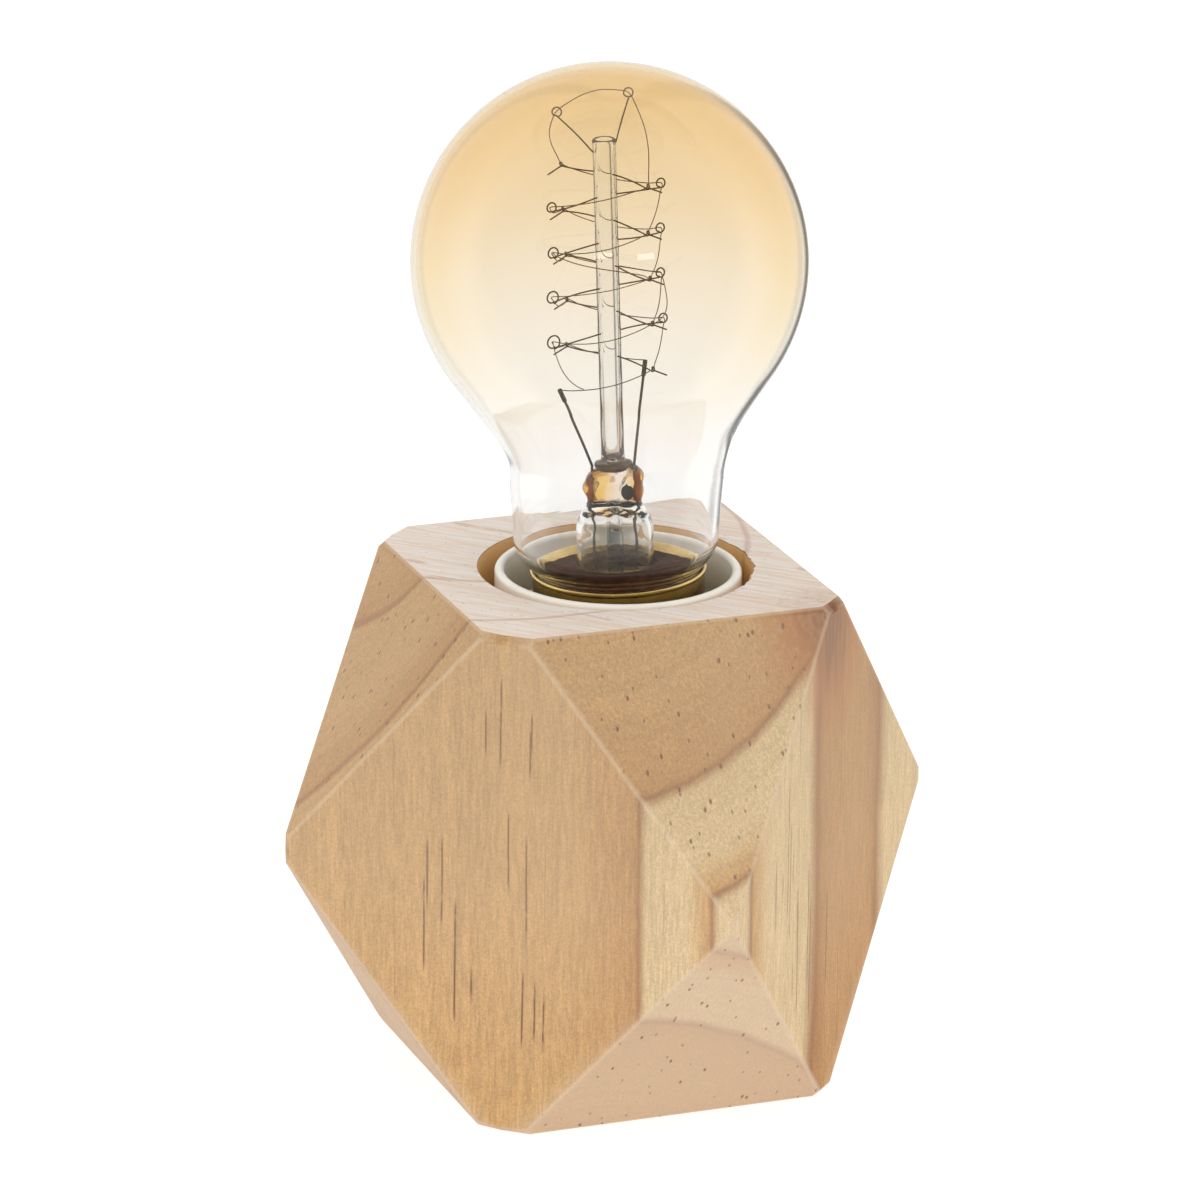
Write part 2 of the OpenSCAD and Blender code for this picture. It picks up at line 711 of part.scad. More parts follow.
// Side hooks stand in opposite pairs, each a little over a quarter turn from the last.
// Even pairs end in a crook and a tail, odd pairs in a round eye.
even_az = 140;
odd_az = 35;
TAIL_DROP = [0.3, 1.6];
function is_even(pair) = pair % 2 == 0;
function hook_az(pair, side) = (is_even(pair) ? even_az : odd_az) + 180 * (1 - side);
function hook_z(pair) = hook_top - pair * hook_step;
function hook_reach(pair) = is_even(pair) ? crook_reach : eye_reach;
function curl_r(pair) = is_even(pair) ? 0.32 : 0.68;
hook_drop = 0.3;
curl_pitch = 0.5;
tail_len = 2.4;
function eye(pair, side) =
    polar(hook_az(pair, side), hook_reach(pair), hook_z(pair) - hook_drop + curl_r(pair));

// The two top hooks reach up and out: [azimuth, reach, height, height of root]
TOP_LEFT = [190, 7, 72, 65.5];
TOP_RIGHT = [15, 4, 74, 66.5];

// A wire from root to end, then one curl of radius r about a raised middle
function curl_path(root, end, r) =
    let (run = end - root,
        out = unit([run[0], run[1], 0]),
        side = [-out[1], out[0], 0])
    concat(
        [root, root + 0.5 * run],
        [for (a = [0 : 36 : 360])
            end + r * sin(a) * out + [0, 0, r * (1 - cos(a))] + curl_pitch * a / 360 * side]);

function tail_end(root, end, drop) =
    end + curl_pitch * [root[1] - end[1], end[0] - root[0], 0] / norm(end - root)
        + tail_len * unit(end - root) - [0, 0, drop];

module side_hook(pair, side) {
    az = hook_az(pair, side);
    root = polar(az, arbor_r, hook_z(pair));
    end = polar(az, hook_reach(pair), hook_z(pair) - hook_drop);
    curl = curl_path(root, end, curl_r(pair));
    tail = is_even(pair) ? [tail_end(root, end, TAIL_DROP[side])] : [];
    wire(concat(curl, tail), hook_wire, 5);
}

module top_hook(spot) {
    r = 0.7;
    wire(curl_path(polar(spot[0], arbor_r, spot[3]), polar(spot[0], spot[1], spot[2] - r), r),
        hook_wire, 5);
}

function faces_left(az) = cos(az) < 0;

module support_wires_left() {
    color("dimgray") stem_frame() {
        for (pair = [0 : hook_pairs - 1], side = [0, 1])
            if (faces_left(hook_az(pair, side))) side_hook(pair, side);
        top_hook(TOP_LEFT);
    }
}

module support_wires_right() {
    color("dimgray") stem_frame() {
        for (pair = [0 : hook_pairs - 1], side = [0, 1])
            if (!faces_left(hook_az(pair, side))) side_hook(pair, side);
        top_hook(TOP_RIGHT);
    }
}

// Tips of the two lead wires: left and towards the viewer, right and away
LEAD_TIPS = [[-7, -6, lead_top], [5, 6, lead_top]];
LEAD_BENDS = [[-lead_side, 0, pinch_z1 + 0.15], [lead_side, 0, pinch_z1 + 0.15]];
lead_dirs = [for (i = [0, 1]) unit(LEAD_TIPS[i] - LEAD_BENDS[i])];
crimp_len = 2.2;

module lead_wires() {
    low = neck_end - 3;
    ends = [
        [[-lead_side, 0, low], [-lead_side - 2.5, 0, low - 0.8], [-cap_bore + 1.1, 0, low - 1]],
        [[lead_side, 0, low], [1.9, 0, -18.5], [0.6, 0, -insulator_to + 1.8]]];
    color("dimgray") stem_frame() for (i = [0, 1])
        wire(concat([LEAD_TIPS[i], LEAD_BENDS[i], [LEAD_BENDS[i][0], 0, pinch_z0 + 1]], ends[i]),
            lead_wire, 8);
}

module lead_crimps() {
    crimp_d = 0.75;
    color("dimgray") stem_frame() for (i = [0, 1])
        wire([LEAD_TIPS[i] + 0.02 * lead_dirs[i], LEAD_TIPS[i] + crimp_len * lead_dirs[i]],
            crimp_d, 8);
}

// One span of filament between two points, hanging a little and bowed outwards
function span(a, b, sag, bow) = [
    for (t = [0.2, 0.5, 0.8])
        let (m = a + t * (b - a), k = 4 * t * (1 - t), out = unit([m[0], m[1], 0]))
        m + bow * k * out - [0, 0, sag * k]];

function chain(stops, sag, bow) = [
    for (i = [0 : len(stops) - 2]) each concat([stops[i]], span(stops[i], stops[i + 1], sag, bow)),
    stops[len(stops) - 1]];

// Two spirals of hooks: the filament climbs one from the left lead, crosses the
// top and comes down the other to the right lead
function spiral_side(pair, start) = (floor(pair / 2) + start) % 2;
function spiral_eye(pair, start) = eye(pair, spiral_side(pair, start));

module filament() {
    sag = 0.9;
    bow = 0.5;
    climb_bow = 1.5;    // bow of the lengths to and from the top hooks
    arch_rise = 1.6;    // rise of the length between the top hooks
    last = hook_pairs - 1;
    ends = [for (i = [0, 1]) LEAD_TIPS[i] + (crimp_len + 0.05) * lead_dirs[i]];
    right = polar(TOP_RIGHT[0], TOP_RIGHT[1], TOP_RIGHT[2]);
    left = polar(TOP_LEFT[0], TOP_LEFT[1], TOP_LEFT[2]);
    over = concat(
        span(spiral_eye(0, 0), right, 0, climb_bow), [right],
        span(right, left, -arch_rise, 0), [left],
        span(left, spiral_eye(0, 1), 0, climb_bow));
    path = concat(
        chain(concat([ends[0]], [for (i = [last : -1 : 0]) spiral_eye(i, 0)]), sag, bow),
        over,
        chain(concat([for (i = [0 : last]) spiral_eye(i, 1)], [ends[1]]), sag, bow));
    color("black") stem_frame() wire(path, filament_wire, 4);
}

wood_block();
felt_pad();
cord_inlet_bush();
nipple();
flat_washer();
spring_washer();
hex_nut();
holder_cap();
holder_skirt();
contact_insert();
screw_shell();
centre_contact();
centre_foot();
side_contact();
contact_rivets();
terminal_blocks();
terminal_screws();
bulb_glass();
bulb_cap();
cap_insulator();
contact_tip();
side_solder();
capping_cement();
stem_flare();
exhaust_tube();
arbor_tube();
support_wires_left();
support_wires_right();
lead_wires();
lead_crimps();
filament();
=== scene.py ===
"""Bare bulb table lamp: the looks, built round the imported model. Metres, Z up.

Pieces are drawn in millimetres and scaled once, in piece_mesh().
"""

import math

import bmesh
import bpy
import numpy as np
from mathutils import Matrix, Vector


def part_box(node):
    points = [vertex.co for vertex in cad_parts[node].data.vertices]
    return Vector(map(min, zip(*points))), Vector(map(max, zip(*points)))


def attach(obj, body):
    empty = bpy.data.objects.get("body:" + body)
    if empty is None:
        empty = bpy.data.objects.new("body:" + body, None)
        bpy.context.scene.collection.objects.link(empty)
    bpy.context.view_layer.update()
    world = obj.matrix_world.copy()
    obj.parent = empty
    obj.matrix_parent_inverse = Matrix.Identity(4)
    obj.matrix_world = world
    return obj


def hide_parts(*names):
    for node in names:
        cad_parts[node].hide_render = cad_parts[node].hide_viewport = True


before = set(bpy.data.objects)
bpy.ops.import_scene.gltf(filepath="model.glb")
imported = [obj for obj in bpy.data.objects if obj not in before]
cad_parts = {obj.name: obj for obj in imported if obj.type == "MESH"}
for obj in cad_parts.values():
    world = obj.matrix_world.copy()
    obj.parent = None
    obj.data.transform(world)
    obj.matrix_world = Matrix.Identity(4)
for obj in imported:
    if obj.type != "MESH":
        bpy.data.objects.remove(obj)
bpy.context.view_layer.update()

MM = 0.001


def box_mm(node):
    """Lowest and highest corner of a CAD node, in millimetres."""
    low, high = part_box(node)
    return low / MM, high / MM


# ---------------------------------------------------------------- sizes, mm

BLOCK_LOW, BLOCK_HIGH = box_mm("wood_block")
HALF_WIDTH = BLOCK_HIGH.x
SKIRT_LOW, SKIRT_HIGH = box_mm("holder_skirt")
HOLDER_X = (SKIRT_LOW.x + SKIRT_HIGH.x) / 2
HOLDER_R = (SKIRT_HIGH.x - SKIRT_LOW.x) / 2
RIM_Z = SKIRT_HIGH.z

# How far the bulb leans in its holder, and which way
BULB_LEAN = math.radians(2.15)
BULB_LEAN_AZIMUTH = math.radians(24.35)
STEM_SHIFT = -0.35     # the stem stands a little beside the bulb's axis


def bulb_matrix():
    """From the bulb's own frame, with its rim at height 0, to the lamp's frame, in mm."""
    right = Vector((math.cos(BULB_LEAN_AZIMUTH), math.sin(BULB_LEAN_AZIMUTH), 0))
    up = Vector((0, 0, 1))
    across = right * math.cos(BULB_LEAN) + up * math.sin(BULB_LEAN)
    axis = up * math.cos(BULB_LEAN) - right * math.sin(BULB_LEAN)
    back = axis.cross(across)
    matrix = Matrix((across, back, axis)).transposed().to_4x4()
    matrix.translation = Vector((HOLDER_X, 0, RIM_Z))
    return matrix


# Frames that pieces are drawn in. Height 0 is the holder's rim in the first three.
BULB = bulb_matrix()
STEM = BULB @ Matrix.Translation((STEM_SHIFT, 0, 0))
HOLDER = Matrix.Translation((HOLDER_X, 0, RIM_Z))
LAMP = Matrix.Identity(4)


# ---------------------------------------------------------------- camera and studio

# From a least squares fit of the lamp's corners and circles to the photograph
CAMERA_PLACE = Vector((439.21, -974.89, 436.24)) * MM
CAMERA_AZIMUTH = math.radians(24.349)
CAMERA_ELEVATION = math.radians(18.709)
CAMERA_ROLL = math.radians(0.620)
CAMERA_LENS = 221.81


def make_camera():
    a, e, roll = CAMERA_AZIMUTH, CAMERA_ELEVATION, CAMERA_ROLL
    back = Vector((math.sin(a) * math.cos(e), -math.cos(a) * math.cos(e), math.sin(e)))
    right = Vector((math.cos(a), math.sin(a), 0))
    up = back.cross(right)
    x_axis = math.cos(roll) * right + math.sin(roll) * up
    y_axis = math.cos(roll) * up - math.sin(roll) * right
    data = bpy.data.cameras.new("camera")
    data.lens = CAMERA_LENS
    data.sensor_width = 36
    data.clip_start = 0.05
    camera = bpy.data.objects.new("camera", data)
    matrix = Matrix((x_axis, y_axis, back)).transposed().to_4x4()
    matrix.translation = CAMERA_PLACE
    camera.matrix_world = matrix
    bpy.context.scene.collection.objects.link(camera)
    bpy.context.scene.camera = camera


# ---------------------------------------------------------------- shader helper


def srgb(red, green, blue):
    """A colour given in 0 to 255 display values, as the linear colour that a socket takes."""
    def linear(value):
        value /= 255
        return value / 12.92 if value <= 0.04045 else ((value + 0.055) / 1.055) ** 2.4
    return (linear(red), linear(green), linear(blue), 1.0)


SOCKETS = {"color": "Base Color", "roughness": "Roughness", "metallic": "Metallic", "normal": "Normal",
           "ior": "IOR", "transmission": "Transmission Weight", "specular": "Specular IOR Level",
           "sheen": "Sheen Weight", "emission": "Emission Color", "emission_strength": "Emission Strength"}


class Shader:
    """One procedural material, with short calls for the nodes that it uses."""

    def __init__(self, name, tree=None):
        if tree is None:
            self.material = bpy.data.materials.new(name)
            self.material.use_nodes = True
            tree = self.material.node_tree
            tree.nodes.clear()
        self.tree = tree

    def node(self, kind, inputs=None, **settings):
        made = self.tree.nodes.new("ShaderNode" + kind)
        for key, value in settings.items():
            setattr(made, key, value)
        for key, value in (inputs or {}).items():
            if isinstance(value, bpy.types.NodeSocket):
                self.tree.links.new(value, made.inputs[key])
            else:
                made.inputs[key].default_value = value
        return made

    def math(self, operation, a, b=0.0, c=0.0):
        return self.node("Math", {0: a, 1: b, 2: c}, operation=operation).outputs[0]

    def vector(self, operation, a, b=(0, 0, 0)):
        return self.node("VectorMath", {0: a, 1: b}, operation=operation).outputs

    def product(self, first, *others):
        for value in others:
            first = self.math("MULTIPLY", first, value)
        return first

    def dot(self, a, b):
        return self.vector("DOT_PRODUCT", a, b)["Value"]

    def shaded(self, colour, shade):
        """A colour times a grey."""
        return self.mix(1.0, colour, self.join(shade, shade, shade), "MULTIPLY")

    def place(self):
        """The place on the piece, in mm of the lamp's frame at rest."""
        point = self.node("TexCoord").outputs["Object"]
        return self.node("VectorMath", {0: point, 3: 1 / MM}, operation="SCALE").outputs[0]

    def split(self, vector):
        return self.node("SeparateXYZ", {0: vector}).outputs

    def join(self, x, y, z):
        return self.node("CombineXYZ", {0: x, 1: y, 2: z}).outputs[0]

    def times(self, vector, factors):
        return self.vector("MULTIPLY", vector, factors)[0]

    def plus(self, vector, other):
        return self.vector("ADD", vector, other)[0]

    def noise(self, vector, scale, detail=2.0, roughness=0.5, output="Fac"):
        made = self.node("TexNoise", {"Vector": vector, "Scale": scale, "Detail": detail,
                                      "Roughness": roughness})
        return made.outputs[output]

    def step(self, value, low, high, to_low=0.0, to_high=1.0):
        made = self.node("MapRange", {"Value": value, "From Min": low, "From Max": high,
                                      "To Min": to_low, "To Max": to_high},
                         interpolation_type="SMOOTHSTEP")
        return made.outputs[0]

    def ramp(self, factor, stops):
        made = self.node("ValToRGB", {"Fac": factor})
        elements = made.color_ramp.elements
        while len(elements) < len(stops):
            elements.new(0.5)
        for element, (place, colour) in zip(elements, stops):
            element.position = place
            element.color = colour
        return made.outputs["Color"]

    def mix(self, factor, a, b, blend="MIX"):
        made = self.node("Mix", data_type="RGBA", blend_type=blend)
        for index, value in ((0, factor), (6, a), (7, b)):
            if isinstance(value, bpy.types.NodeSocket):
                self.tree.links.new(value, made.inputs[index])
            else:
                made.inputs[index].default_value = value
        return made.outputs[2]

    def bump(self, height, strength, distance):
        return self.node("Bump", {"Height": height, "Strength": strength,
                                  "Distance": distance * MM}).outputs[0]

    def finish(self, **inputs):
        """Ends the material in one Principled shader, and returns the material."""
        shader = self.node("BsdfPrincipled", {SOCKETS[key]: value for key, value in inputs.items()})
        output = self.node("OutputMaterial")
        self.tree.links.new(shader.outputs[0], output.inputs["Surface"])
        return self.material


# ---------------------------------------------------------------- studio

WHITE_LEVEL = 1.0
DIFFUSE_LEVEL = 0.82   # the set is lit by a little less than the white that glass shows
SKY_HEIGHTS = (-0.6, 0.9)   # of a ray's direction
SKY_LEVELS = (1.03, 1.12)   # at those heights
# A black flag beside the set: degrees to the right of the view where it starts, is full, fades, ends
FLAG_AZIMUTHS = (9, 14, 20, 27)
FLAG_HEIGHTS = (-0.15, 0.2)   # it thins out between these heights of a ray's direction
FLAG_ABOVE = 0.3              # to this share
FLAG_SHADE = 0.25             # how bright its middle is
FRONT_FADE = (-0.4, 0.1)    # where the front room gives way to the white, along the view
FRONT_SHADE = 0.22     # the room behind the camera is darker than the white behind the lamp
FRONT_THROUGH = 0.65   # but less so for a ray that comes through the glass


def flag_cover(sky, sideways, onwards, height):
    """1 in the middle of the flag, 0 beside it."""
    azimuth = sky.math("DEGREES", sky.math("ARCTAN2", sideways, onwards))
    start, full, fade, end = FLAG_AZIMUTHS
    return sky.product(sky.step(azimuth, start, full), sky.step(azimuth, fade, end, 1, 0),
                       sky.step(height, *FLAG_HEIGHTS, 1, FLAG_ABOVE))


def front_level(sky, onwards, rays):
    """How bright the room in front of the lamp is, by the kind of ray that sees it."""
    front = sky.step(onwards, *FRONT_FADE, FRONT_SHADE, 1)
    front = sky.math("MAXIMUM", front, rays["Is Diffuse Ray"])
    return sky.math("MAXIMUM", front, sky.product(rays["Is Transmission Ray"], FRONT_THROUGH))


def make_world():
    """White behind the lamp, a darker room in front, and a black flag to the right."""
    world = bpy.data.worlds.new("studio")
    bpy.context.scene.world = world
    world.use_nodes = True
    world.node_tree.nodes.clear()
    sky = Shader("studio", world.node_tree)
    direction = sky.node("TexCoord").outputs["Generated"]
    a = CAMERA_AZIMUTH
    sideways = sky.dot(direction, (math.cos(a), math.sin(a), 0))
    onwards = sky.dot(direction, (-math.sin(a), math.cos(a), 0))
    height = sky.split(direction)[2]
    rays = sky.node("LightPath").outputs
    flag = flag_cover(sky, sideways, onwards, height)
    level = sky.product(sky.step(height, *SKY_HEIGHTS, *SKY_LEVELS),
                        sky.math("MULTIPLY_ADD", flag, FLAG_SHADE - 1, 1),
                        front_level(sky, onwards, rays),
                        sky.math("MULTIPLY_ADD", rays["Is Diffuse Ray"], DIFFUSE_LEVEL - 1, 1))
    seen = rays["Is Camera Ray"]
    unseen = sky.math("SUBTRACT", 1, seen)
    level = sky.math("ADD", sky.product(level, unseen), sky.product(seen, WHITE_LEVEL))
    background = sky.node("Background", {"Color": (1, 1, 1, 1), "Strength": level})
    output = sky.node("OutputWorld")
    world.node_tree.links.new(background.outputs[0], output.inputs["Surface"])


def make_light(name, place, target, size, power):
    data = bpy.data.lights.new(name, "AREA")
    data.shape = "RECTANGLE"
    data.size, data.size_y = size
    data.energy = power
    light = bpy.data.objects.new(name, data)
    light.location = place
    towards = Vector(target) - Vector(place)
    light.rotation_euler = towards.to_track_quat("-Z", "Y").to_euler()
    light.visible_glossy = False
    light.visible_transmission = False
    bpy.context.scene.collection.objects.link(light)
    return light


WINDOWS = (("window_left", -0.07), ("window_right", 0.42))   # metres to the right of the camera
WINDOW_RISE = 0.06
WINDOW_SIZE = (0.2, 0.07)
WINDOW_POWER = 0.2


def make_windows(target):
    """Two small softboxes by the camera, seen as faint windows in the glass."""
    right = Vector((math.cos(CAMERA_AZIMUTH), math.sin(CAMERA_AZIMUTH), 0))
    for name, shift in WINDOWS:
        place = CAMERA_PLACE + shift * right + Vector((0, 0, WINDOW_RISE))
        light = make_light(name, place, target, WINDOW_SIZE, WINDOW_POWER)
        light.visible_glossy = True


FLOOR_Z = -0.00005     # just under the felt, so that the two aren't in one plane
FLOOR_REACH = 12.0
FLOOR_GREYS = ((0.38, 0.38, 0.38, 1), (0.42, 0.42, 0.42, 1))
FLOOR_GLOW = 0.78


def clear_from_below(shader):
    """Lets a camera under the floor see the lamp's underside."""
    output = next(node for node in shader.tree.nodes if node.type == "OUTPUT_MATERIAL")
    seen_from_above = output.inputs["Surface"].links[0].from_socket
    below = shader.node("NewGeometry").outputs["Backfacing"]
    clear = shader.node("BsdfTransparent").outputs[0]
    mixed = shader.node("MixShader", {0: below, 1: seen_from_above, 2: clear}).outputs[0]
    shader.tree.links.new(mixed, output.inputs["Surface"])


def make_floor():
    """A pale floor that shines a little by itself, so that shadows on it stay faint."""
    shader = Shader("floor_paper")
    colour = shader.mix(shader.noise(shader.place(), 0.02, 3), *FLOOR_GREYS)
    material = shader.finish(color=colour, roughness=0.9, specular=0.0,
                             emission=(1, 1, 1, 1), emission_strength=FLOOR_GLOW)
    clear_from_below(shader)
    mesh = bpy.data.meshes.new("floor")
    far = FLOOR_REACH
    corners = [(x, y, FLOOR_Z) for x, y in ((-far, -far), (far, -far), (far, far), (-far, far))]
    mesh.from_pydata(corners, [], [(0, 1, 2, 3)])
    mesh.materials.append(material)
    floor = bpy.data.objects.new("floor", mesh)
    bpy.context.scene.collection.objects.link(floor)
    floor.visible_transmission = False
    floor.visible_glossy = False


LAMP_MIDDLE = (0, 0, 0.06)
BULB_MIDDLE = (0, 0, 0.13)
# Place, size and watts
LIGHTS = {"key": ((-0.9, -1.6, 1.5), (1.2, 0.9), 4), "fill": ((1.5, -1.0, 0.9), (1.0, 1.0), 1.8)}


def make_studio():
    bpy.context.scene.view_settings.view_transform = "Standard"
    make_world()
    for name, (place, size, power) in LIGHTS.items():
        make_light(name, place, LAMP_MIDDLE, size, power)
    make_windows(BULB_MIDDLE)
    make_floor()


# ---------------------------------------------------------------- mesh helpers

MERGE = 0.0005     # points closer than this, in mm, become one
WIRE_MERGE = 1e-6  # and in thin wires


def piece_mesh(name, points, faces, matrix=LAMP, merge=MERGE):
    """A mesh from millimetre points, in metres, with doubled points merged."""
    mesh = bpy.data.meshes.new(name)
    work = bmesh.new()
    made = [work.verts.new(matrix @ Vector(p)) for p in points]
    for face in faces:
        corners = [made[i] for i in face]
        if len(set(corners)) == len(corners):
            work.faces.new(corners)
    bmesh.ops.remove_doubles(work, verts=work.verts, dist=merge)
    bmesh.ops.recalc_face_normals(work, faces=work.faces)
    for vertex in work.verts:
        vertex.co *= MM
    work.to_mesh(mesh)
    work.free()
    return mesh


def add_piece(name, mesh, materials, body, replaces=()):
    """Puts a finished mesh into the scene, riding on a body."""
    piece = bpy.data.objects.new(name, mesh)
    bpy.context.scene.collection.objects.link(piece)
    for material in materials:
        mesh.materials.append(material)
    for polygon in mesh.polygons:
        polygon.use_smooth = True
    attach(piece, body)
    if replaces:
        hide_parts(*replaces)
    return piece


def put_piece(name, shape, matrix, material, body, slot, *replaces, merge=MERGE):
    """A piece of one material, from (points, faces)."""
    return add_piece(name, piece_mesh(name, *shape, matrix, merge), [material], body, replaces)


def lathe(outline, steps=144, closed=True, radius=None):
    """Turns an outline of (radius, height) points into points and faces.
    radius(r, z, angle), where given, changes the radius of each point."""
    count = len(outline)
    points = []
    for k in range(steps):
        angle = 2 * math.pi * k / steps
        for r, z in outline:
            if radius is not None:
                r = radius(r, z, angle)
            points.append((r * math.cos(angle), r * math.sin(angle), z))
    faces = []
    for k in range(steps):
        here, after = k * count, (k + 1) % steps * count
        for i in range(count if closed else count - 1):
            j = (i + 1) % count
            faces.append((here + i, here + j, after + j, after + i))
    return points, faces


def arc(centre, radius, start, end, steps=6):
    """Points on an arc in the (radius, height) plane; angles in degrees."""
    angles = [math.radians(start + (end - start) * i / steps) for i in range(steps + 1)]
    return [(centre[0] + radius * math.cos(a), centre[1] + radius * math.sin(a)) for a in angles]


def bezier(a, b, c, d, steps):
    """Points on a Bezier curve, without its first."""
    a, b, c, d = (np.array(p, float) for p in (a, b, c, d))
    return [tuple((1 - t) ** 3 * a + 3 * t * (1 - t) ** 2 * b + 3 * t * t * (1 - t) * c + t ** 3 * d)
            for t in np.linspace(0, 1, steps + 1)[1:]]


def moved_in(outline, wall):
    """The outline moved in by a wall, square to itself."""
    points = np.array(outline, float)
    ahead = np.gradient(points, axis=0)
    length = np.linalg.norm(ahead, axis=1)
    inward = np.stack([ahead[:, 1], -ahead[:, 0]], 1) / length[:, None]
    moved = points + wall * inward
    moved[:, 0] = np.maximum(moved[:, 0], 0)
    return [tuple(p) for p in moved]


# ---------------------------------------------------------------- wooden block

POCKET_X = 0.5
POCKET_R = 20.9
LEAST_FACE = 300   # area of the smallest flat face, mm2
EDGE_R = 0.55      # rounding of the edges
TIP_CUT = 0.7      # how much is gone from the tip of each corner
EDGE_INSET = 0.25  # a narrow border on each flat face keeps its shading flat
LEAST_INSET = 200  # area of the smallest face that gets this border, mm2
EDGE_BAND = 0.5    # how far from an edge the wood counts as edge
SHARP = math.radians(30)
TEAR_AZIMUTH = math.radians(25)
WEB = 10           # wood between the pocket and the wire chamber
CHAMBER_R = 19
FELT_RECESS_R = 23.1
NIPPLE_HOLE_R = 5.3
INLET_Z = BLOCK_LOW.z + 10.5
INLET_FACE = 1.5   # the inlet is drawn from this far inside the back face
INLET_R = 4.55
INLET_THROAT_R = 3.75
INLET_RECESS_R = 6.05


def block_planes():
    """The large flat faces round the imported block, as (unit normal, distance) in mm."""
    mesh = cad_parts["wood_block"].data
    places = np.array([vertex.co for vertex in mesh.vertices]) / MM
    found = []
    for polygon in mesh.polygons:
        normal = np.array(polygon.normal)
        area = polygon.area / MM ** 2
        distance = normal @ places[polygon.vertices[0]]
        for plane in found:
            if normal @ plane[0] > 0.99999 and abs(distance - plane[1]) < 0.02:
                plane[2] += area
                break
        else:
            found.append([normal, distance, area])
    return [(normal, distance) for normal, distance, area in found
            if area > LEAST_FACE and (places @ normal).max() < distance + 0.05]


def plane_corners(planes):
    """Every point where three planes meet on the solid's surface."""
    found = []
    for i in range(len(planes)):
        for j in range(i + 1, len(planes)):
            for k in range(j + 1, len(planes)):
                normals = np.array([planes[n][0] for n in (i, j, k)])
                if abs(np.linalg.det(normals)) < 1e-3:
                    continue
                point = np.linalg.solve(normals, [planes[n][1] for n in (i, j, k)])
                if all(n @ point < d + 1e-4 for n, d in planes):
                    found.append(point)
    return found


def cutter(name, outline, matrix, steps, radius=None):
    """A turned solid that is taken out of the block."""
    mesh = piece_mesh(name, *lathe(outline, steps, radius=radius), matrix)
    tool = bpy.data.objects.new(name, mesh)
    bpy.context.scene.collection.objects.link(tool)
    return tool


def take_out(piece, tools):
    for tool in tools:
        cut = piece.modifiers.new(tool.name, "BOOLEAN")
        cut.operation = "DIFFERENCE"
        cut.solver = "EXACT"
        cut.object = tool
    graph = bpy.context.evaluated_depsgraph_get()
    mesh = bpy.data.meshes.new_from_object(piece.evaluated_get(graph))
    piece.modifiers.clear()
    piece.data = mesh
    for tool in tools:
        bpy.data.objects.remove(tool)
    return mesh


def rough_rim(r, z, angle):
    """The pocket's edge is torn a little on the far right."""
    if z < BLOCK_HIGH.z - 3 or r < POCKET_R - 1:
        return r
    torn = max(0.0, math.cos(angle - TEAR_AZIMUTH)) ** 3
    ripple = math.sin(17 * angle) + 0.8 * math.sin(41 * angle + 1) + 0.6 * math.sin(73 * angle)
    return r + torn * (0.10 + 0.13 * ripple)


def blunted(planes):
    """The planes, with one more at each corner that takes its tip off."""
    middle = np.array([0, 0, (BLOCK_LOW.z + BLOCK_HIGH.z) / 2])
    cuts = []
    for point in plane_corners(planes):
        away = (point - middle) / np.linalg.norm(point - middle)
        cuts.append((away, away @ point - TIP_CUT))
    return planes + cuts


def ball(radius, levels=10, sides=20):
    """Points on a ball."""
    made = [Vector((0, 0, radius)), Vector((0, 0, -radius))]
    for i in range(1, levels):
        tilt = math.pi * i / levels
        for k in range(sides):
            turn = 2 * math.pi * (k + 0.5 * (i % 2)) / sides
            made.append(Vector((math.sin(tilt) * math.cos(turn), math.sin(tilt) * math.sin(turn),
                                math.cos(tilt))) * radius)
    return made


def rounded_solid(planes, radius):
    """A bmesh of the solid inside the planes, with its edges rounded."""
    moved = [(normal, distance - radius) for normal, distance in blunted(planes)]
    corners = plane_corners(moved)
    work = bmesh.new()
    for point in corners:
        for offset in ball(radius):
            work.verts.new(Vector(point) + offset)
    for normal, distance in planes:  # the flat faces reach the planes exactly
        for point in corners:
            if abs(normal @ point - (distance - radius)) < 1e-3:
                work.verts.new(point + normal * radius)
    bmesh.ops.remove_doubles(work, verts=work.verts, dist=0.02)
    hull = bmesh.ops.convex_hull(work, input=work.verts)
    inside = hull["geom_interior"] + hull["geom_unused"]
    loose = {v for v in inside if isinstance(v, bmesh.types.BMVert)}
    bmesh.ops.delete(work, geom=list(loose), context="VERTS")
    bmesh.ops.dissolve_limit(work, angle_limit=math.radians(0.4), verts=work.verts, edges=work.edges)
    return work


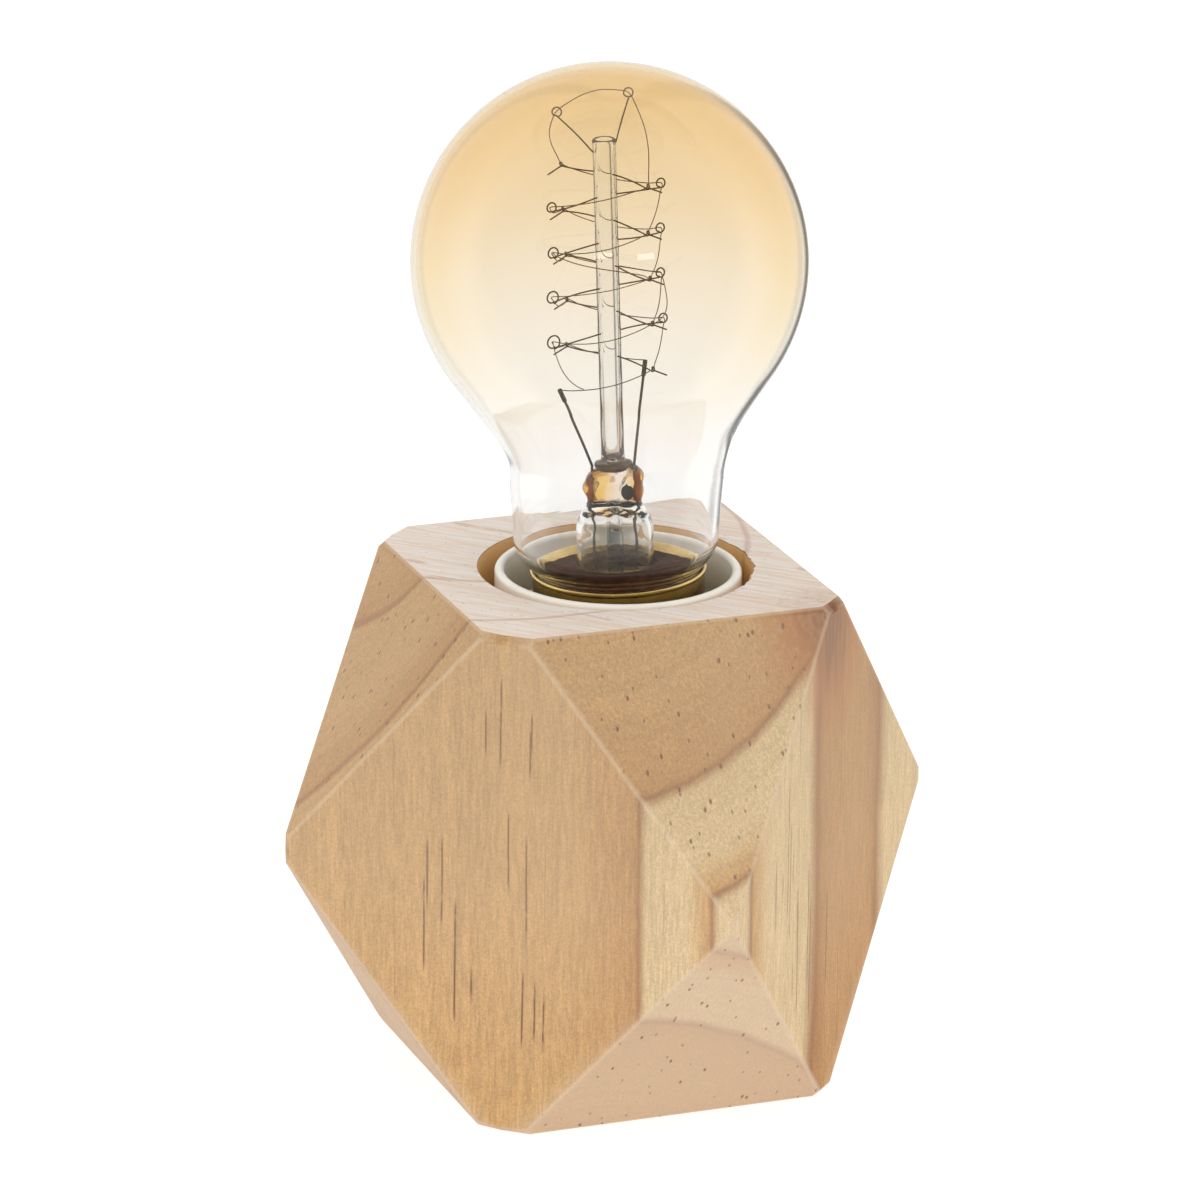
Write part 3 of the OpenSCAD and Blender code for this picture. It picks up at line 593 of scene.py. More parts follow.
def block_cutters():
    """The pocket, the nipple's hole, the wire chamber with the felt's recess, and the inlet."""
    top, low = BLOCK_HIGH.z, BLOCK_LOW.z
    floor_z = box_mm("holder_cap")[0].z
    web_z = floor_z - WEB
    pocket = [(0, floor_z), (POCKET_R, floor_z), (POCKET_R, top - 2), (POCKET_R, top - 0.3),
              (POCKET_R + 0.08, top - 0.1), (POCKET_R + 0.3, top + 0.1), (POCKET_R + 0.6, top + 3),
              (0, top + 3)]
    hole = [(0, web_z - 1), (NIPPLE_HOLE_R, web_z - 1), (NIPPLE_HOLE_R, floor_z + 1), (0, floor_z + 1)]
    chamber = [(0, -5), (FELT_RECESS_R, -5), (FELT_RECESS_R, low + 1), (CHAMBER_R, low + 1),
               (CHAMBER_R, web_z), (0, web_z)]
    inlet = [(0, -36), (INLET_THROAT_R, -36), (INLET_THROAT_R, -8.5), (INLET_R, -8.5), (INLET_R, 0),
             (INLET_RECESS_R, 0), (INLET_RECESS_R, 5), (0, 5)]
    inlet_place = Matrix.Translation((0, HALF_WIDTH - INLET_FACE, INLET_Z))
    return [cutter("pocket", pocket, Matrix.Translation((POCKET_X, 0, 0)), 240, rough_rim),
            cutter("nipple_hole", hole, Matrix.Translation((HOLDER_X, 0, 0)), 64),
            cutter("chamber", chamber, LAMP, 96),
            cutter("inlet", inlet, inlet_place @ Matrix.Rotation(-math.pi / 2, 4, "X"), 64)]


def make_block(material):
    planes = block_planes()
    work = rounded_solid(planes, EDGE_R)
    large = [face for face in work.faces if face.calc_area() > LEAST_INSET]
    bmesh.ops.inset_individual(work, faces=large, thickness=EDGE_INSET, use_even_offset=True)
    for vertex in work.verts:
        vertex.co *= MM
    mesh = bpy.data.meshes.new("wood_block")
    work.to_mesh(mesh)
    work.free()
    uncut = bpy.data.objects.new("wood_block_uncut", mesh)
    bpy.context.scene.collection.objects.link(uncut)
    mesh = take_out(uncut, block_cutters())
    mark_edges(mesh, planes)
    bpy.data.objects.remove(uncut)
    block = add_piece("wood_block_faceted", mesh, [material], "base", ["wood_block"])
    shade_by_angle(block)


def mark_edges(mesh, planes):
    """A point attribute: 1 on the rounded edges, 0 on the flat faces; it marks where the wood takes its wear
    and painted highlight.
    """
    places = np.zeros(len(mesh.vertices) * 3)
    mesh.vertices.foreach_get("co", places)
    places = places.reshape(-1, 3) / MM
    near = np.zeros(len(places))
    for normal, distance in planes:
        near += np.clip(1 - (distance - places @ normal) / EDGE_BAND, 0, 1) ** 0.5
    values = np.clip(near - 1.0, 0, 1)
    layer = mesh.attributes.new("edge", "FLOAT", "POINT")
    layer.data.foreach_set("value", values.astype(np.float32))


def shade_by_angle(piece):
    """Smooth shading that keeps sharp edges sharp."""
    mesh = piece.data
    work = bmesh.new()
    work.from_mesh(mesh)
    for edge in work.edges:
        edge.smooth = len(edge.link_faces) != 2 or edge.calc_face_angle() < SHARP
    work.to_mesh(mesh)
    work.free()


# Growth rings are circles in plan round the tree's heart
HEART = (-24, 5)
HONEY = srgb(196, 154, 103)
PALE = srgb(214, 186, 140)
BROWN = srgb(186, 138, 86)
ORANGE = srgb(198, 150, 90)
LINE = srgb(146, 92, 52)
HONEY_WIDTHS = (23, 18, 22)   # from the heart outwards
PALE_WIDTHS = (9, 14.5)       # two pale rings come next
LAST_WIDTH = 24
RING_LINE = 0.25              # half the width of the thin dark line between two rings
RING_DARK = 0.9               # a ring has its late tone from this far before its end
RING_EVEN = 0.6               # share of a ring that has one tone
ON_TOP = (0.9, 0.98)          # how far up a face looks where it starts to count as the top
# painted light: the pink glow that the white floor throws up onto the faces under the slopes
PAINTED_BOUNCE_PINK = srgb(202, 176, 152)
# the top's near white: sanded end grain, and partly painted light from above
SANDED_AND_LIT_TOP_TONES = (srgb(242, 218, 199), srgb(255, 251, 245))
TOP_STAIN = srgb(190, 146, 116)
TOP_LINE = srgb(176, 122, 98)
MARK_TONE = srgb(104, 60, 34)
WALL_TONE = srgb(238, 190, 128)
# the rounded edges painted lighter: partly wear, partly a painted highlight where they catch the light
EDGE_WEAR_AND_HIGHLIGHT = srgb(228, 206, 178)
GREYED = srgb(186, 150, 106)

KNOT = (35.5, -2, 75.5)       # middle of the red-brown knot at the right corner of the top
# Rim and core of the knot: how far it is full, where it ends, its share, its tone
KNOT_TONES = ((4.0, 15.0, 0.95, srgb(164, 98, 50)), (2.0, 8.5, 0.8, srgb(104, 60, 32)))

# Long dark streaks on the two upright faces that meet at the near corner. Their places are
# drawn at random. Per face: seed, how many, the place across that they gather round, spread.
FRONT_STREAKS = (11, 14, 0, 7)
RIGHT_STREAKS = (5, 12, -12, 6)
STREAK_LENGTHS = (7, 24)
STREAK_FREE = 6               # free above and below the streaks, taken together
# Resin canals in two sizes: spacing, width, how far they wander, the share left out
CANALS = ((3.4, 0.27, 2.6, 0.3), (2.2, 0.2, 2.0, 0.45))


def rings():
    """Each growth ring: the radius where it ends, its tone, and its tone where it ends."""
    made = []
    end = 0
    for width in HONEY_WIDTHS + PALE_WIDTHS + (LAST_WIDTH,):
        end += width
        pale = len(HONEY_WIDTHS) <= len(made) < len(HONEY_WIDTHS + PALE_WIDTHS)
        made.append((end, PALE, ORANGE) if pale else (end, HONEY, BROWN))
    return made


def ring_stops():
    """Ramp stops: each ring keeps its tone for a while, darkens, and ends in a thin dark line."""
    reach = rings()[-1][0]
    stops = []
    start = 0
    for end, tone, late in rings():
        even = start + RING_EVEN * (end - start)
        stops += [((start + RING_LINE) / reach, tone), (even / reach, tone),
                  ((end - RING_DARK) / reach, late), ((end - RING_LINE) / reach, LINE)]
        start = end
    return stops


def streak_places(seed, count, middle, spread):
    """The streaks on one face: place across, top and bottom."""
    draw = np.random.default_rng(seed)
    made = []
    for _ in range(count):
        x = draw.normal(middle, spread)
        length = draw.uniform(*STREAK_LENGTHS)
        room = BLOCK_HIGH.z - 2 * abs(x) - length - STREAK_FREE     # the face narrows above and below
        low = (BLOCK_HIGH.z - room - length) / 2 + draw.uniform(0, max(room, 1))
        made.append((float(x), float(low + length), float(low)))
    return made


def distance_from(wood, middle, x, y):
    """How far a place is from an upright line."""
    dx = wood.math("SUBTRACT", x, middle[0])
    dy = wood.math("SUBTRACT", y, middle[1])
    return wood.math("SQRT", wood.math("ADD", wood.product(dx, dx), wood.product(dy, dy)))


def resin_canals(wood, place, sway, slope):
    """Thin dark needles along the grain: dots on sloping faces, few streaks on upright ones."""
    total = None
    for spacing, width, wander, missing in CANALS:
        shift = wood.join(wood.product(sway[1], wander), wood.product(sway[2], wander), 0.0)
        cells = wood.node("TexVoronoi", {"Vector": wood.plus(place, shift), "Scale": 1 / spacing},
                          voronoi_dimensions="2D").outputs
        near = wood.step(cells["Distance"], width / spacing * 0.6, width / spacing, 1, 0)
        kept = wood.step(wood.split(cells["Color"])[0], missing, missing + 0.05)
        along = wood.plus(wood.times(place, (0.02, 0.02, 0.12)), wood.times(cells["Color"], (40, 40, 40)))
        mark = wood.product(near, kept, wood.step(wood.noise(along, 1.0, 1), 0.42, 0.5))
        total = mark if total is None else wood.math("MAXIMUM", total, wood.product(mark, 0.8))
    return wood.product(total, wood.math("MULTIPLY_ADD", slope, 0.75, 0.25))


def face_streaks(wood, across, z, on_face, wander, places):
    """The streaks that run down one face."""
    total = None
    bent = wood.math("MULTIPLY_ADD", wander, 1.4, across)
    for place, high, low in places:
        aside = wood.math("ABSOLUTE", wood.math("SUBTRACT", bent, place))
        mark = wood.product(wood.step(aside, 0.04, 0.26, 1, 0), wood.step(z, low, low + 3),
                            wood.step(z, high - 3, high, 1, 0))
        total = mark if total is None else wood.math("MAXIMUM", total, mark)
    broken = wood.noise(wood.join(across, 0.0, wood.product(z, 0.4)), 1.0, 2)
    return wood.product(total, on_face, wood.step(broken, 0.32, 0.5, 0.45, 1))


def wood_marks(wood, place, sway, facing):
    """1 on resin canals and streaks; they are fainter on the top."""
    x, y, z = wood.split(place)
    canals = resin_canals(wood, place, sway, wood.step(wood.math("ABSOLUTE", facing), 0.2, 0.4))
    on_front = wood.step(y, 0.5 - HALF_WIDTH, 1.5 - HALF_WIDTH, 1, 0)
    on_right = wood.step(x, HALF_WIDTH - 1.5, HALF_WIDTH - 0.5, 0, 0.75)
    front = face_streaks(wood, x, z, on_front, sway[1], streak_places(*FRONT_STREAKS))
    right = face_streaks(wood, y, z, on_right, sway[1], streak_places(*RIGHT_STREAKS))
    marks = wood.math("MAXIMUM", canals, wood.math("MAXIMUM", front, right))
    return wood.product(marks, wood.step(facing, *ON_TOP, 1, 0.3))


def end_grain_and_painted_light(wood, colour, place, facing, ring_lines):
    """Sanded end grain, with painted light: the faces under the slopes get a painted pink bounce from the
    floor, and the top is nearly white, partly from sanding and partly as painted light from above.
    """
    # painted bounce light from the floor on the faces that look down
    colour = wood.mix(wood.step(facing, -0.35, -0.15, 0.55, 0), colour, PAINTED_BOUNCE_PINK)
    scrape = wood.noise(wood.times(place, (0.05, 1.0, 1.0)), 1.9, 4, 0.65)
    # the sanding marks and painted light from above make the top near white
    pale = wood.mix(wood.step(scrape, 0.3, 0.7), *SANDED_AND_LIT_TOP_TONES)
    stain = wood.noise(wood.times(place, (0.08, 0.3, 0.3)), 1.0, 4, 0.6)
    pale = wood.mix(wood.step(stain, 0.6, 0.72, 0, 0.5), pale, TOP_STAIN)
    pale = wood.mix(wood.product(ring_lines, 0.55), pale, TOP_LINE)
    return wood.mix(wood.step(facing, *ON_TOP, 0, 0.9), colour, pale)


def with_knot(wood, colour, place, facing, wander):
    """The knot's rim and core, broken up by lines along the grain and fainter on the top."""
    away = wood.times(wood.vector("SUBTRACT", place, KNOT)[0], (1.0, 1.0, 0.7))
    away = wood.math("MULTIPLY_ADD", wander, 5.0, wood.vector("LENGTH", away)["Value"])
    lines = wood.noise(wood.times(place, (0.9, 0.9, 0.1)), 1.2, 3)
    shown = wood.product(wood.step(facing, *ON_TOP, 1, 0.2), wood.step(lines, 0.35, 0.6, 0.55, 1))
    for full, end, share, tone in KNOT_TONES:
        colour = wood.mix(wood.product(shown, wood.step(away, full, end, share, 0)), colour, tone)
    return colour


def pocket_wall(wood, x, y, z):
    """1 on the wall of the pocket, 0 elsewhere."""
    bore = distance_from(wood, (POCKET_X, 0), x, y)
    return wood.product(wood.step(bore, POCKET_R + 0.15, POCKET_R + 0.45, 1, 0),
                        wood.step(z, BLOCK_HIGH.z - 0.25, BLOCK_HIGH.z - 0.05, 1, 0))


def wood_material():
    wood = Shader("pine")
    place = wood.place()
    x, y, z = wood.split(place)
    sway = wood.split(wood.noise(wood.times(place, (0.05, 0.05, 0.012)), 1.0, 3, output="Color"))
    sway = [wood.math("SUBTRACT", part, 0.5) for part in sway]
    facing = wood.split(wood.node("TexCoord").outputs["Normal"])[2]

    radius = wood.math("MULTIPLY_ADD", sway[0], 2.4, distance_from(wood, HEART, x, y))
    outward_share = wood.math("DIVIDE", radius, rings()[-1][0])
    colour = wood.ramp(outward_share, ring_stops())
    white, black = (1, 1, 1, 1), (0, 0, 0, 1)
    lines = [(at, white if tone == LINE else black) for at, tone in ring_stops()]

    # fibres drawn out along the grain, fine and coarse, the speckle of cut fibres, and a tone that is lighter
    # towards the bottom
    fine = wood.noise(wood.times(place, (1.0, 1.0, 0.10)), 2.6, 4, 0.7)
    growth = wood.noise(wood.join(radius, 0.0, wood.product(z, 0.01)), 1.1, 3, 0.7)
    coarse = wood.noise(wood.times(place, (1.0, 1.0, 0.03)), 0.4, 4, 0.6)
    speck = wood.noise(place, 2.9, 3, 0.7)
    for value, low, high, at_low, at_high in (
            (fine, 0.32, 0.68, 0.82, 1.10), (growth, 0.3, 0.7, 0.94, 1.04), (coarse, 0.25, 0.75, 0.965, 1.03),
            (speck, 0.3, 0.7, 0.84, 1.12), (z, 0, BLOCK_HIGH.z, 1.14, 0.92)):
        colour = wood.shaded(colour, wood.step(value, low, high, at_low, at_high))
    grey = wood.noise(wood.times(place, (0.06, 0.06, 0.02)), 1.0, 2)
    colour = wood.mix(wood.step(grey, 0.45, 0.75, 0, 0.2), colour, GREYED)

    colour = end_grain_and_painted_light(wood, colour, place, facing, wood.ramp(outward_share, lines))
    colour = with_knot(wood, colour, place, facing, sway[1])
    marks = wood_marks(wood, place, sway, facing)
    edge = wood.node("Attribute", attribute_name="edge").outputs["Fac"]
    # the edges' light tone is partly wear and partly a painted highlight
    for cover, share, tone in ((marks, 0.88, MARK_TONE), (pocket_wall(wood, x, y, z), 0.85, WALL_TONE),
                               (edge, 0.5, EDGE_WEAR_AND_HIGHLIGHT)):
        colour = wood.mix(wood.product(cover, share), colour, tone)

    height = wood.math("SUBTRACT", wood.product(fine, 0.6), marks)
    rough = wood.step(fine, 0.2, 0.8, 0.54, 0.68)
    return wood.finish(color=colour, roughness=rough, normal=wood.bump(height, 0.3, 0.1), specular=0.3)


# ---------------------------------------------------------------- bulb

BULB_R = 30
BULB_CENTRE = 48.4
BALL_END = math.radians(124)   # from the top round to here the glass is a ball
NECK_R = 16.3
NECK_Z = 15.5
NECK_LOW = (NECK_R - 0.65, 5)  # radius and height where the neck starts to turn in
CAP_MOUTH = 12.8
GLASS_WALL = 0.9


def neck_bend(z):
    """Blown glass isn't quite straight: how far the neck strays sideways at a height."""
    return 0.42 * math.exp(-((z - 18) / 4) ** 2) - 0.2 * math.exp(-((z - 4) / 3) ** 2)


def glass_outline():
    """Half outline of the outside, from the top down."""
    outline = [(BULB_R * math.sin(a), BULB_CENTRE + BULB_R * math.cos(a))
               for a in np.linspace(0, BALL_END, 73)]
    slope = np.array([math.cos(BALL_END), -math.sin(BALL_END)])
    start = np.array(outline[-1])
    neck = np.array([NECK_R, NECK_Z])
    low_r, low_z = NECK_LOW
    outline += bezier(start, start + 8.9 * slope, neck + [0.35, 5], neck, 28)
    outline += bezier(neck, neck - [0, 3.5], (low_r, low_z + 3.5), NECK_LOW, 12)
    rim = (CAP_MOUTH - 0.1, 0)
    outline += bezier(NECK_LOW, (low_r, 2.8), (rim[0] + 1, 1.2), rim, 12)
    outline.append((rim[0] - 0.3, -3.2))
    return [(float(r), float(z)) for r, z in outline]


def make_bulb_glass(outer_material, inner_material):
    outside = glass_outline()
    points, faces = lathe(outside + moved_in(outside, GLASS_WALL)[::-1], 192)
    points = [(x + neck_bend(z), y, z) for x, y, z in points]
    mesh = piece_mesh("bulb_glass", points, faces, BULB)
    glass = add_piece("bulb_glass_blown", mesh, [outer_material, inner_material], "bulb",
                      ["bulb_glass"])
    to_bulb = BULB.inverted()
    for polygon in mesh.polygons:
        middle = to_bulb @ (polygon.center / MM)
        middle.x -= neck_bend(middle.z)
        normal = to_bulb.to_3x3() @ polygon.normal
        outward_here = Vector((middle.x, middle.y, max(0.0, middle.z - BULB_CENTRE)))
        polygon.material_index = 1 if normal.dot(outward_here) < 0 else 0
    glass.visible_shadow = False


GLASS_IOR = 1.5
STEM_IOR = 1.54
TUBE_IOR = 1.44
CLEAR = srgb(252, 252, 250)
COPPER_GLOW = srgb(238, 182, 74)   # the leads' copper, seen on both sides of the seal
EDGE_AMBER = srgb(249, 237, 208)


def clear_glass_material(name, tint, ior):
    shader = Shader(name)
    wave = shader.noise(shader.times(shader.place(), (0.05, 0.05, 0.02)), 1.0, 2)
    normal = shader.bump(wave, 0.25, 0.25)
    return shader.finish(color=tint, roughness=0.0, ior=ior, transmission=1.0, normal=normal)


def stem_glass_material():
    """Clear glass, turned amber by the copper of the leads on both sides of the seal."""
    shader = Shader("stem_glass")
    x, _, z = shader.split(shader.place())
    height = shader.math("SUBTRACT", z, RIM_Z)
    in_seal = shader.product(shader.step(height, 9.8, 11.2), shader.step(height, 15.5, 17, 1, 0.4))
    aside = shader.math("ABSOLUTE", shader.math("SUBTRACT", x, HOLDER_X))
    tint = shader.mix(shader.product(in_seal, shader.step(aside, 0.4, 3.2, 0.25, 1.0)), CLEAR, COPPER_GLOW)
    wave = shader.noise(shader.times(shader.place(), (0.3, 0.3, 0.15)), 1.0, 2)
    return shader.finish(color=tint, roughness=0.0, ior=STEM_IOR, transmission=1.0,
                         normal=shader.bump(wave, 0.3, 0.3))


# The tint from the rim of the cap up to the top of the glass
AMBER = ((0.0, srgb(255, 255, 255)), (0.34, srgb(253, 250, 245)), (0.5, srgb(252, 246, 234)),
         (0.64, srgb(250, 237, 213)), (0.8, srgb(244, 220, 178)), (1.0, srgb(237, 211, 157)))


def amber_glass_material(name, strength):
    """Clear glass, tinted more and more towards the top and where it is seen edge on."""
    shader = Shader(name)
    height = shader.math("SUBTRACT", shader.split(shader.place())[2], RIM_Z)
    cloud = shader.noise(shader.times(shader.place(), (0.03, 0.03, 0.03)), 1.0, 2)
    height = shader.math("MULTIPLY_ADD", shader.math("SUBTRACT", cloud, 0.5), 3.0, height)
    tint = shader.ramp(shader.math("DIVIDE", height, BULB_CENTRE + BULB_R), AMBER)
    tint = shader.mix(strength, (1, 1, 1, 1), tint)
    grazing = shader.node("LayerWeight", {"Blend": 0.5}).outputs["Facing"]
    deeper = shader.mix(1.0, tint, EDGE_AMBER, "MULTIPLY")
    share = shader.product(shader.step(grazing, 0.05, 0.7), shader.step(height, 18, 50))
    tint = shader.mix(share, tint, deeper)
    return shader.finish(color=tint, roughness=0.0, ior=GLASS_IOR, transmission=1.0)


# ---------------------------------------------------------------- stem

STEM_STEPS = 96         # round each section


def loft(sections):
    """Skins flattened round sections: (half width, half depth, height, shift, squareness)."""
    steps = STEM_STEPS
    points = []
    for half_x, half_y, z, shift, power in sections:
        for k in range(steps):
            angle = 2 * math.pi * k / steps
            c, s = math.cos(angle), math.sin(angle)
            x = max(half_x, 0.01) * math.copysign(abs(c) ** (2 / power), c)
            y = max(half_y, 0.01) * math.copysign(abs(s) ** (2 / power), s)
            points.append((x + shift, y, z + SHOULDER_SLOPE * x * max(0, z - 12) / 5))
    faces = []
    for i in range(len(sections) - 1):
        for k in range(steps):
            here, after = i * steps + k, i * steps + (k + 1) % steps
            faces.append((here, after, after + steps, here + steps))
    return points, faces


SHOULDER_SLOPE = 0.17   # the pressed seal's left shoulder is lower than its right
STEM_R = 5.9
# Half width, half depth, height, shift, squareness: flare, tube, dome, foot of the seal, seal, tip
STEM_OUTSIDE = ((11.1, 11.1, -0.85, 0, 2), (8.6, 8.6, -0.6, 0, 2), (6.5, 6.5, -0.15, 0, 2),
                (STEM_R, STEM_R, 1.2, 0, 2), (STEM_R, STEM_R, 6.6, 0, 2), (5.2, 4.4, 8.6, 0, 2.1),
                (4.15, 2.3, 10.6, 0.1, 2.5), (4.6, 2.4, 13.5, 0, 2.8), (4.2, 2.1, 15.6, 0, 2.6),
                (2.2, 1.7, 17, 0, 2), (0.02, 0.02, 17.2, 0, 2))
STEM_INSIDE = ((10.9, 10.9, -0.98, 0, 2), (5.6, 5.6, -0.85, 0, 2), (5.2, 5.2, 1.0, 0, 2),
               (5.1, 5.1, 6.4, 0, 2), (3.9, 3.4, 8.6, 0, 2), (0.02, 0.02, 9.6, 0.3, 2))


def pinch_folds(x, y, z):
    """Folds that the tongs left at the foot of the pressed seal, and its lumpy sides."""
    band = math.exp(-((z - 10.1) / 1.1) ** 2)
    wave = math.sin(2.6 * x + 5.0 * z + 0.8 * math.sin(1.7 * x)) + 0.6 * math.sin(5.1 * z - 1.9 * x + 1)
    lumps = math.exp(-((z - 14) / 3) ** 2) * (math.sin(1.3 * x + 1.1 * z) + 0.7 * math.sin(2.9 * x - 1.7 * z))
    press = math.exp(-((z - 13.6) / 2.2) ** 2) * 0.12 * math.cos(0.9 * x)
    return 1 + 0.11 * band * wave + 0.07 * lumps - press * (1 if abs(x) < 2.6 else 0.3)


def pinch_sides(x, z):
    """The seal's sides swell and draw in where the tongs let go."""
    return 1 + math.exp(-((z - 13.5) / 3.5) ** 2) * 0.05 * math.sin(2.1 * z + math.copysign(0.9, x))


def make_stem(material):
    steps = STEM_STEPS
    outside, outer_faces = loft(smooth_path(STEM_OUTSIDE, 4))
    outside = [(x * pinch_sides(x, z), y * pinch_folds(x, y, z), z) for x, y, z in outside]
    inside, inner_faces = loft(smooth_path(STEM_INSIDE, 4))
    count = len(outside)
    faces = outer_faces + [tuple(i + count for i in reversed(face)) for face in inner_faces]
    faces += [(k, count + k, count + (k + 1) % steps, (k + 1) % steps) for k in range(steps)]
    stem = put_piece("stem_pressed_glass", (outside + inside, faces), STEM, material, "bulb",
                     "stem_glass", "stem_flare")
    smooth_subdivide(stem)
    stem.visible_shadow = False


def smooth_subdivide(piece):
    """Subdivides a mesh once and keeps the result."""
    step = piece.modifiers.new("smooth", "SUBSURF")
    step.levels = step.render_levels = 1
    graph = bpy.context.evaluated_depsgraph_get()
    mesh = bpy.data.meshes.new_from_object(piece.evaluated_get(graph))
    piece.modifiers.clear()
    piece.data = mesh


ARBOR_R = 1.75
ARBOR_BORE = 1.2
ARBOR_TOP = 67.4
ARBOR_FOOT = 16.2


def make_arbor(material):
    """The open glass tube that carries the hooks, with a swollen foot."""
    r, bore, foot, top = ARBOR_R, ARBOR_BORE, ARBOR_FOOT, ARBOR_TOP
    outline = [(r + 0.25, foot), (r + 0.22, foot + 0.8), (r + 0.05, foot + 1.8), (r, foot + 3)]
    outline += [(r + 0.02 * math.sin(z * 0.9), z) for z in np.linspace(20, top - 1.2, 40)]
    outline += [(r + 0.05, top - 0.5), (r, top - 0.1), (r - 0.2, top), (bore + 0.1, top - 0.05),
                (bore, top - 0.4), (bore, foot + 2.4), (bore - 0.4, foot + 1.5), (0, foot + 1.2), (0, foot)]
    shape = lathe([(float(r), float(z)) for r, z in outline], 64)
    arbor = put_piece("arbor_glass_tube", shape, STEM, material, "bulb", "stem_glass", "arbor_tube")
    arbor.visible_shadow = False


def make_weld_bead(material):
    """The lumpy bead where the glass tube is welded onto the seal."""
    def lumpy(r, z, angle):
        return r * (1 + 0.12 * math.sin(2 * angle + 1) + 0.08 * math.sin(5 * angle)) if r > 1.9 else r
    outline = [(1.2, 16.4)] + arc((1.95, 16.9), 0.62, -90, 90, 10) + [(1.8, 17.7), (1.2, 17.6)]
    put_piece("weld_bead_glass", lathe(outline, 48, radius=lumpy), STEM, material, "bulb", "stem_glass")


def make_blow_hole(material):
    """The burnt hole through which the bulb was pumped out."""
    points, faces = lathe([(0, -1.25)] + arc((0, 0), 1.0, -80, 80, 10) + [(0, 1.25)], 32, closed=False)
    points = [(2.1 + 0.95 * x, -1.35 + 0.55 * y, 12.7 + 1.25 * z) for x, y, z in points]
    put_piece("exhaust_hole_burnt", (points, faces), STEM, material, "bulb", "stem_glass")


# ---------------------------------------------------------------- wires


def smooth_path(points, per_span=5):
    """A smooth curve through points."""
    p = np.array(points, float)
    p = np.vstack([2 * p[0] - p[1], p, 2 * p[-1] - p[-2]])
    made = []
    for i in range(1, len(p) - 2):
        a, b, c, d = p[i - 1:i + 3]
        for t in np.arange(per_span) / per_span:
            made.append(0.5 * (2 * b + (c - a) * t + (2 * a - 5 * b + 4 * c - d) * t ** 2
                               + (3 * b - a - 3 * c + d) * t ** 3))
    made.append(p[-2])
    return made


def tube(path, radius, sides):
    """A closed round wire along a path."""
    path = [np.array(p, float) for p in path]
    ahead = np.gradient(np.array(path), axis=0)
    ahead /= np.linalg.norm(ahead, axis=1)[:, None]
    across = np.cross(ahead[0], (0, 0, 1) if abs(ahead[0][2]) < 0.9 else (1, 0, 0))
    points, faces = [], []
    for i, (spot, t) in enumerate(zip(path, ahead)):
        across = across - t * (across @ t)
        across /= np.linalg.norm(across)
        other = np.cross(t, across)
        for k in range(sides):
            angle = 2 * math.pi * k / sides
            points.append(tuple(spot + radius * (math.cos(angle) * across + math.sin(angle) * other)))
        if i:
            for k in range(sides):
                here, after = (i - 1) * sides + k, (i - 1) * sides + (k + 1) % sides
                faces.append((here, after, after + sides, here + sides))
    faces.append(tuple(range(sides - 1, -1, -1)))
    last = (len(path) - 1) * sides
    faces.append(tuple(range(last, last + sides)))
    return points, faces


def joined(parts):
    """Several (points, faces) as one."""
    points, faces = [], []
    for more, own in parts:
        faces += [tuple(i + len(points) for i in face) for face in own]
        points += more
    return points, faces


# Side hooks stand in opposite pairs, each a little over a quarter turn from the last.
# Even pairs end in a crook and a tail, odd pairs in a round eye.
HOOK_TOP = 62.1        # height of the highest pair
HOOK_STEP = 3.55      # from one pair down to the next
HOOK_PAIRS = 9
CROOK_REACH = 8.2
EYE_REACH = 10.1
EVEN_AZIMUTH = 140
ODD_AZIMUTH = 35
EVEN_DROOPS = (1.2, 0.1)    # how far a hook falls from its root to its end
ODD_DROOPS = (0.6, 0.4)
CROOK_R = 0.32
EYE_R = 0.68
EYE_GROWTH = 0.045          # the round eyes on the left get larger from pair to pair
TAIL_LENGTH = 2.4
TAIL_DROPS = (0.3, 1.6)
CURL_PITCH = 0.5            # a curl winds on by this much in a turn
HOOK_STRAY = 0.22           # bent by hand: each wire strays up or down a little
TURN_STRAY = 2.0            # and round the tube, in degrees
HOOK_R = 0.24 / 2
# The two top hooks reach up and out: azimuth, reach, height, height of root
TOP_RIGHT = (15, 4, 74, 66.5)
TOP_LEFT = (190, 7, 72, 65.5)


def polar(azimuth, reach, z):
    angle = math.radians(azimuth)
    return np.array([reach * math.cos(angle), reach * math.sin(angle), z])


def stray(pair, side):
    return math.sin(2.4 * pair + 1.9 * side)


def hook_ends(pair, side):
    """Root, end and curl radius of a side hook."""
    even = pair % 2 == 0
    azimuth = (EVEN_AZIMUTH if even else ODD_AZIMUTH) + 180 * (1 - side) + TURN_STRAY * stray(pair, side)
    droop = (EVEN_DROOPS if even else ODD_DROOPS)[side]
    z = HOOK_TOP - HOOK_STEP * pair
    end = polar(azimuth, CROOK_REACH if even else EYE_REACH, z - droop)
    radius = CROOK_R if even else EYE_R + (EYE_GROWTH * pair if side == 0 else 0)
    return polar(azimuth, ARBOR_R, z), end, radius


def outward(run):
    return np.array([run[0], run[1], 0]) / math.hypot(run[0], run[1])


def curled(root, end, radius, bend):
    """A wire out of the glass to its end, where it winds round once."""
    run = end - root
    out = outward(run)
    aside = np.array([-out[1], out[0], 0])
    path = [root - 0.35 * out, root]
    path += [root + share * run + (0, 0, bend * math.sin(math.pi * share)) for share in (0.3, 0.6, 0.85)]
    for i in range(13):
        angle = 2 * math.pi * i / 12
        lift = np.array([0, 0, radius * (1 - math.cos(angle))])
        path.append(end + radius * math.sin(angle) * out + lift + CURL_PITCH * i / 12 * aside)
    return path


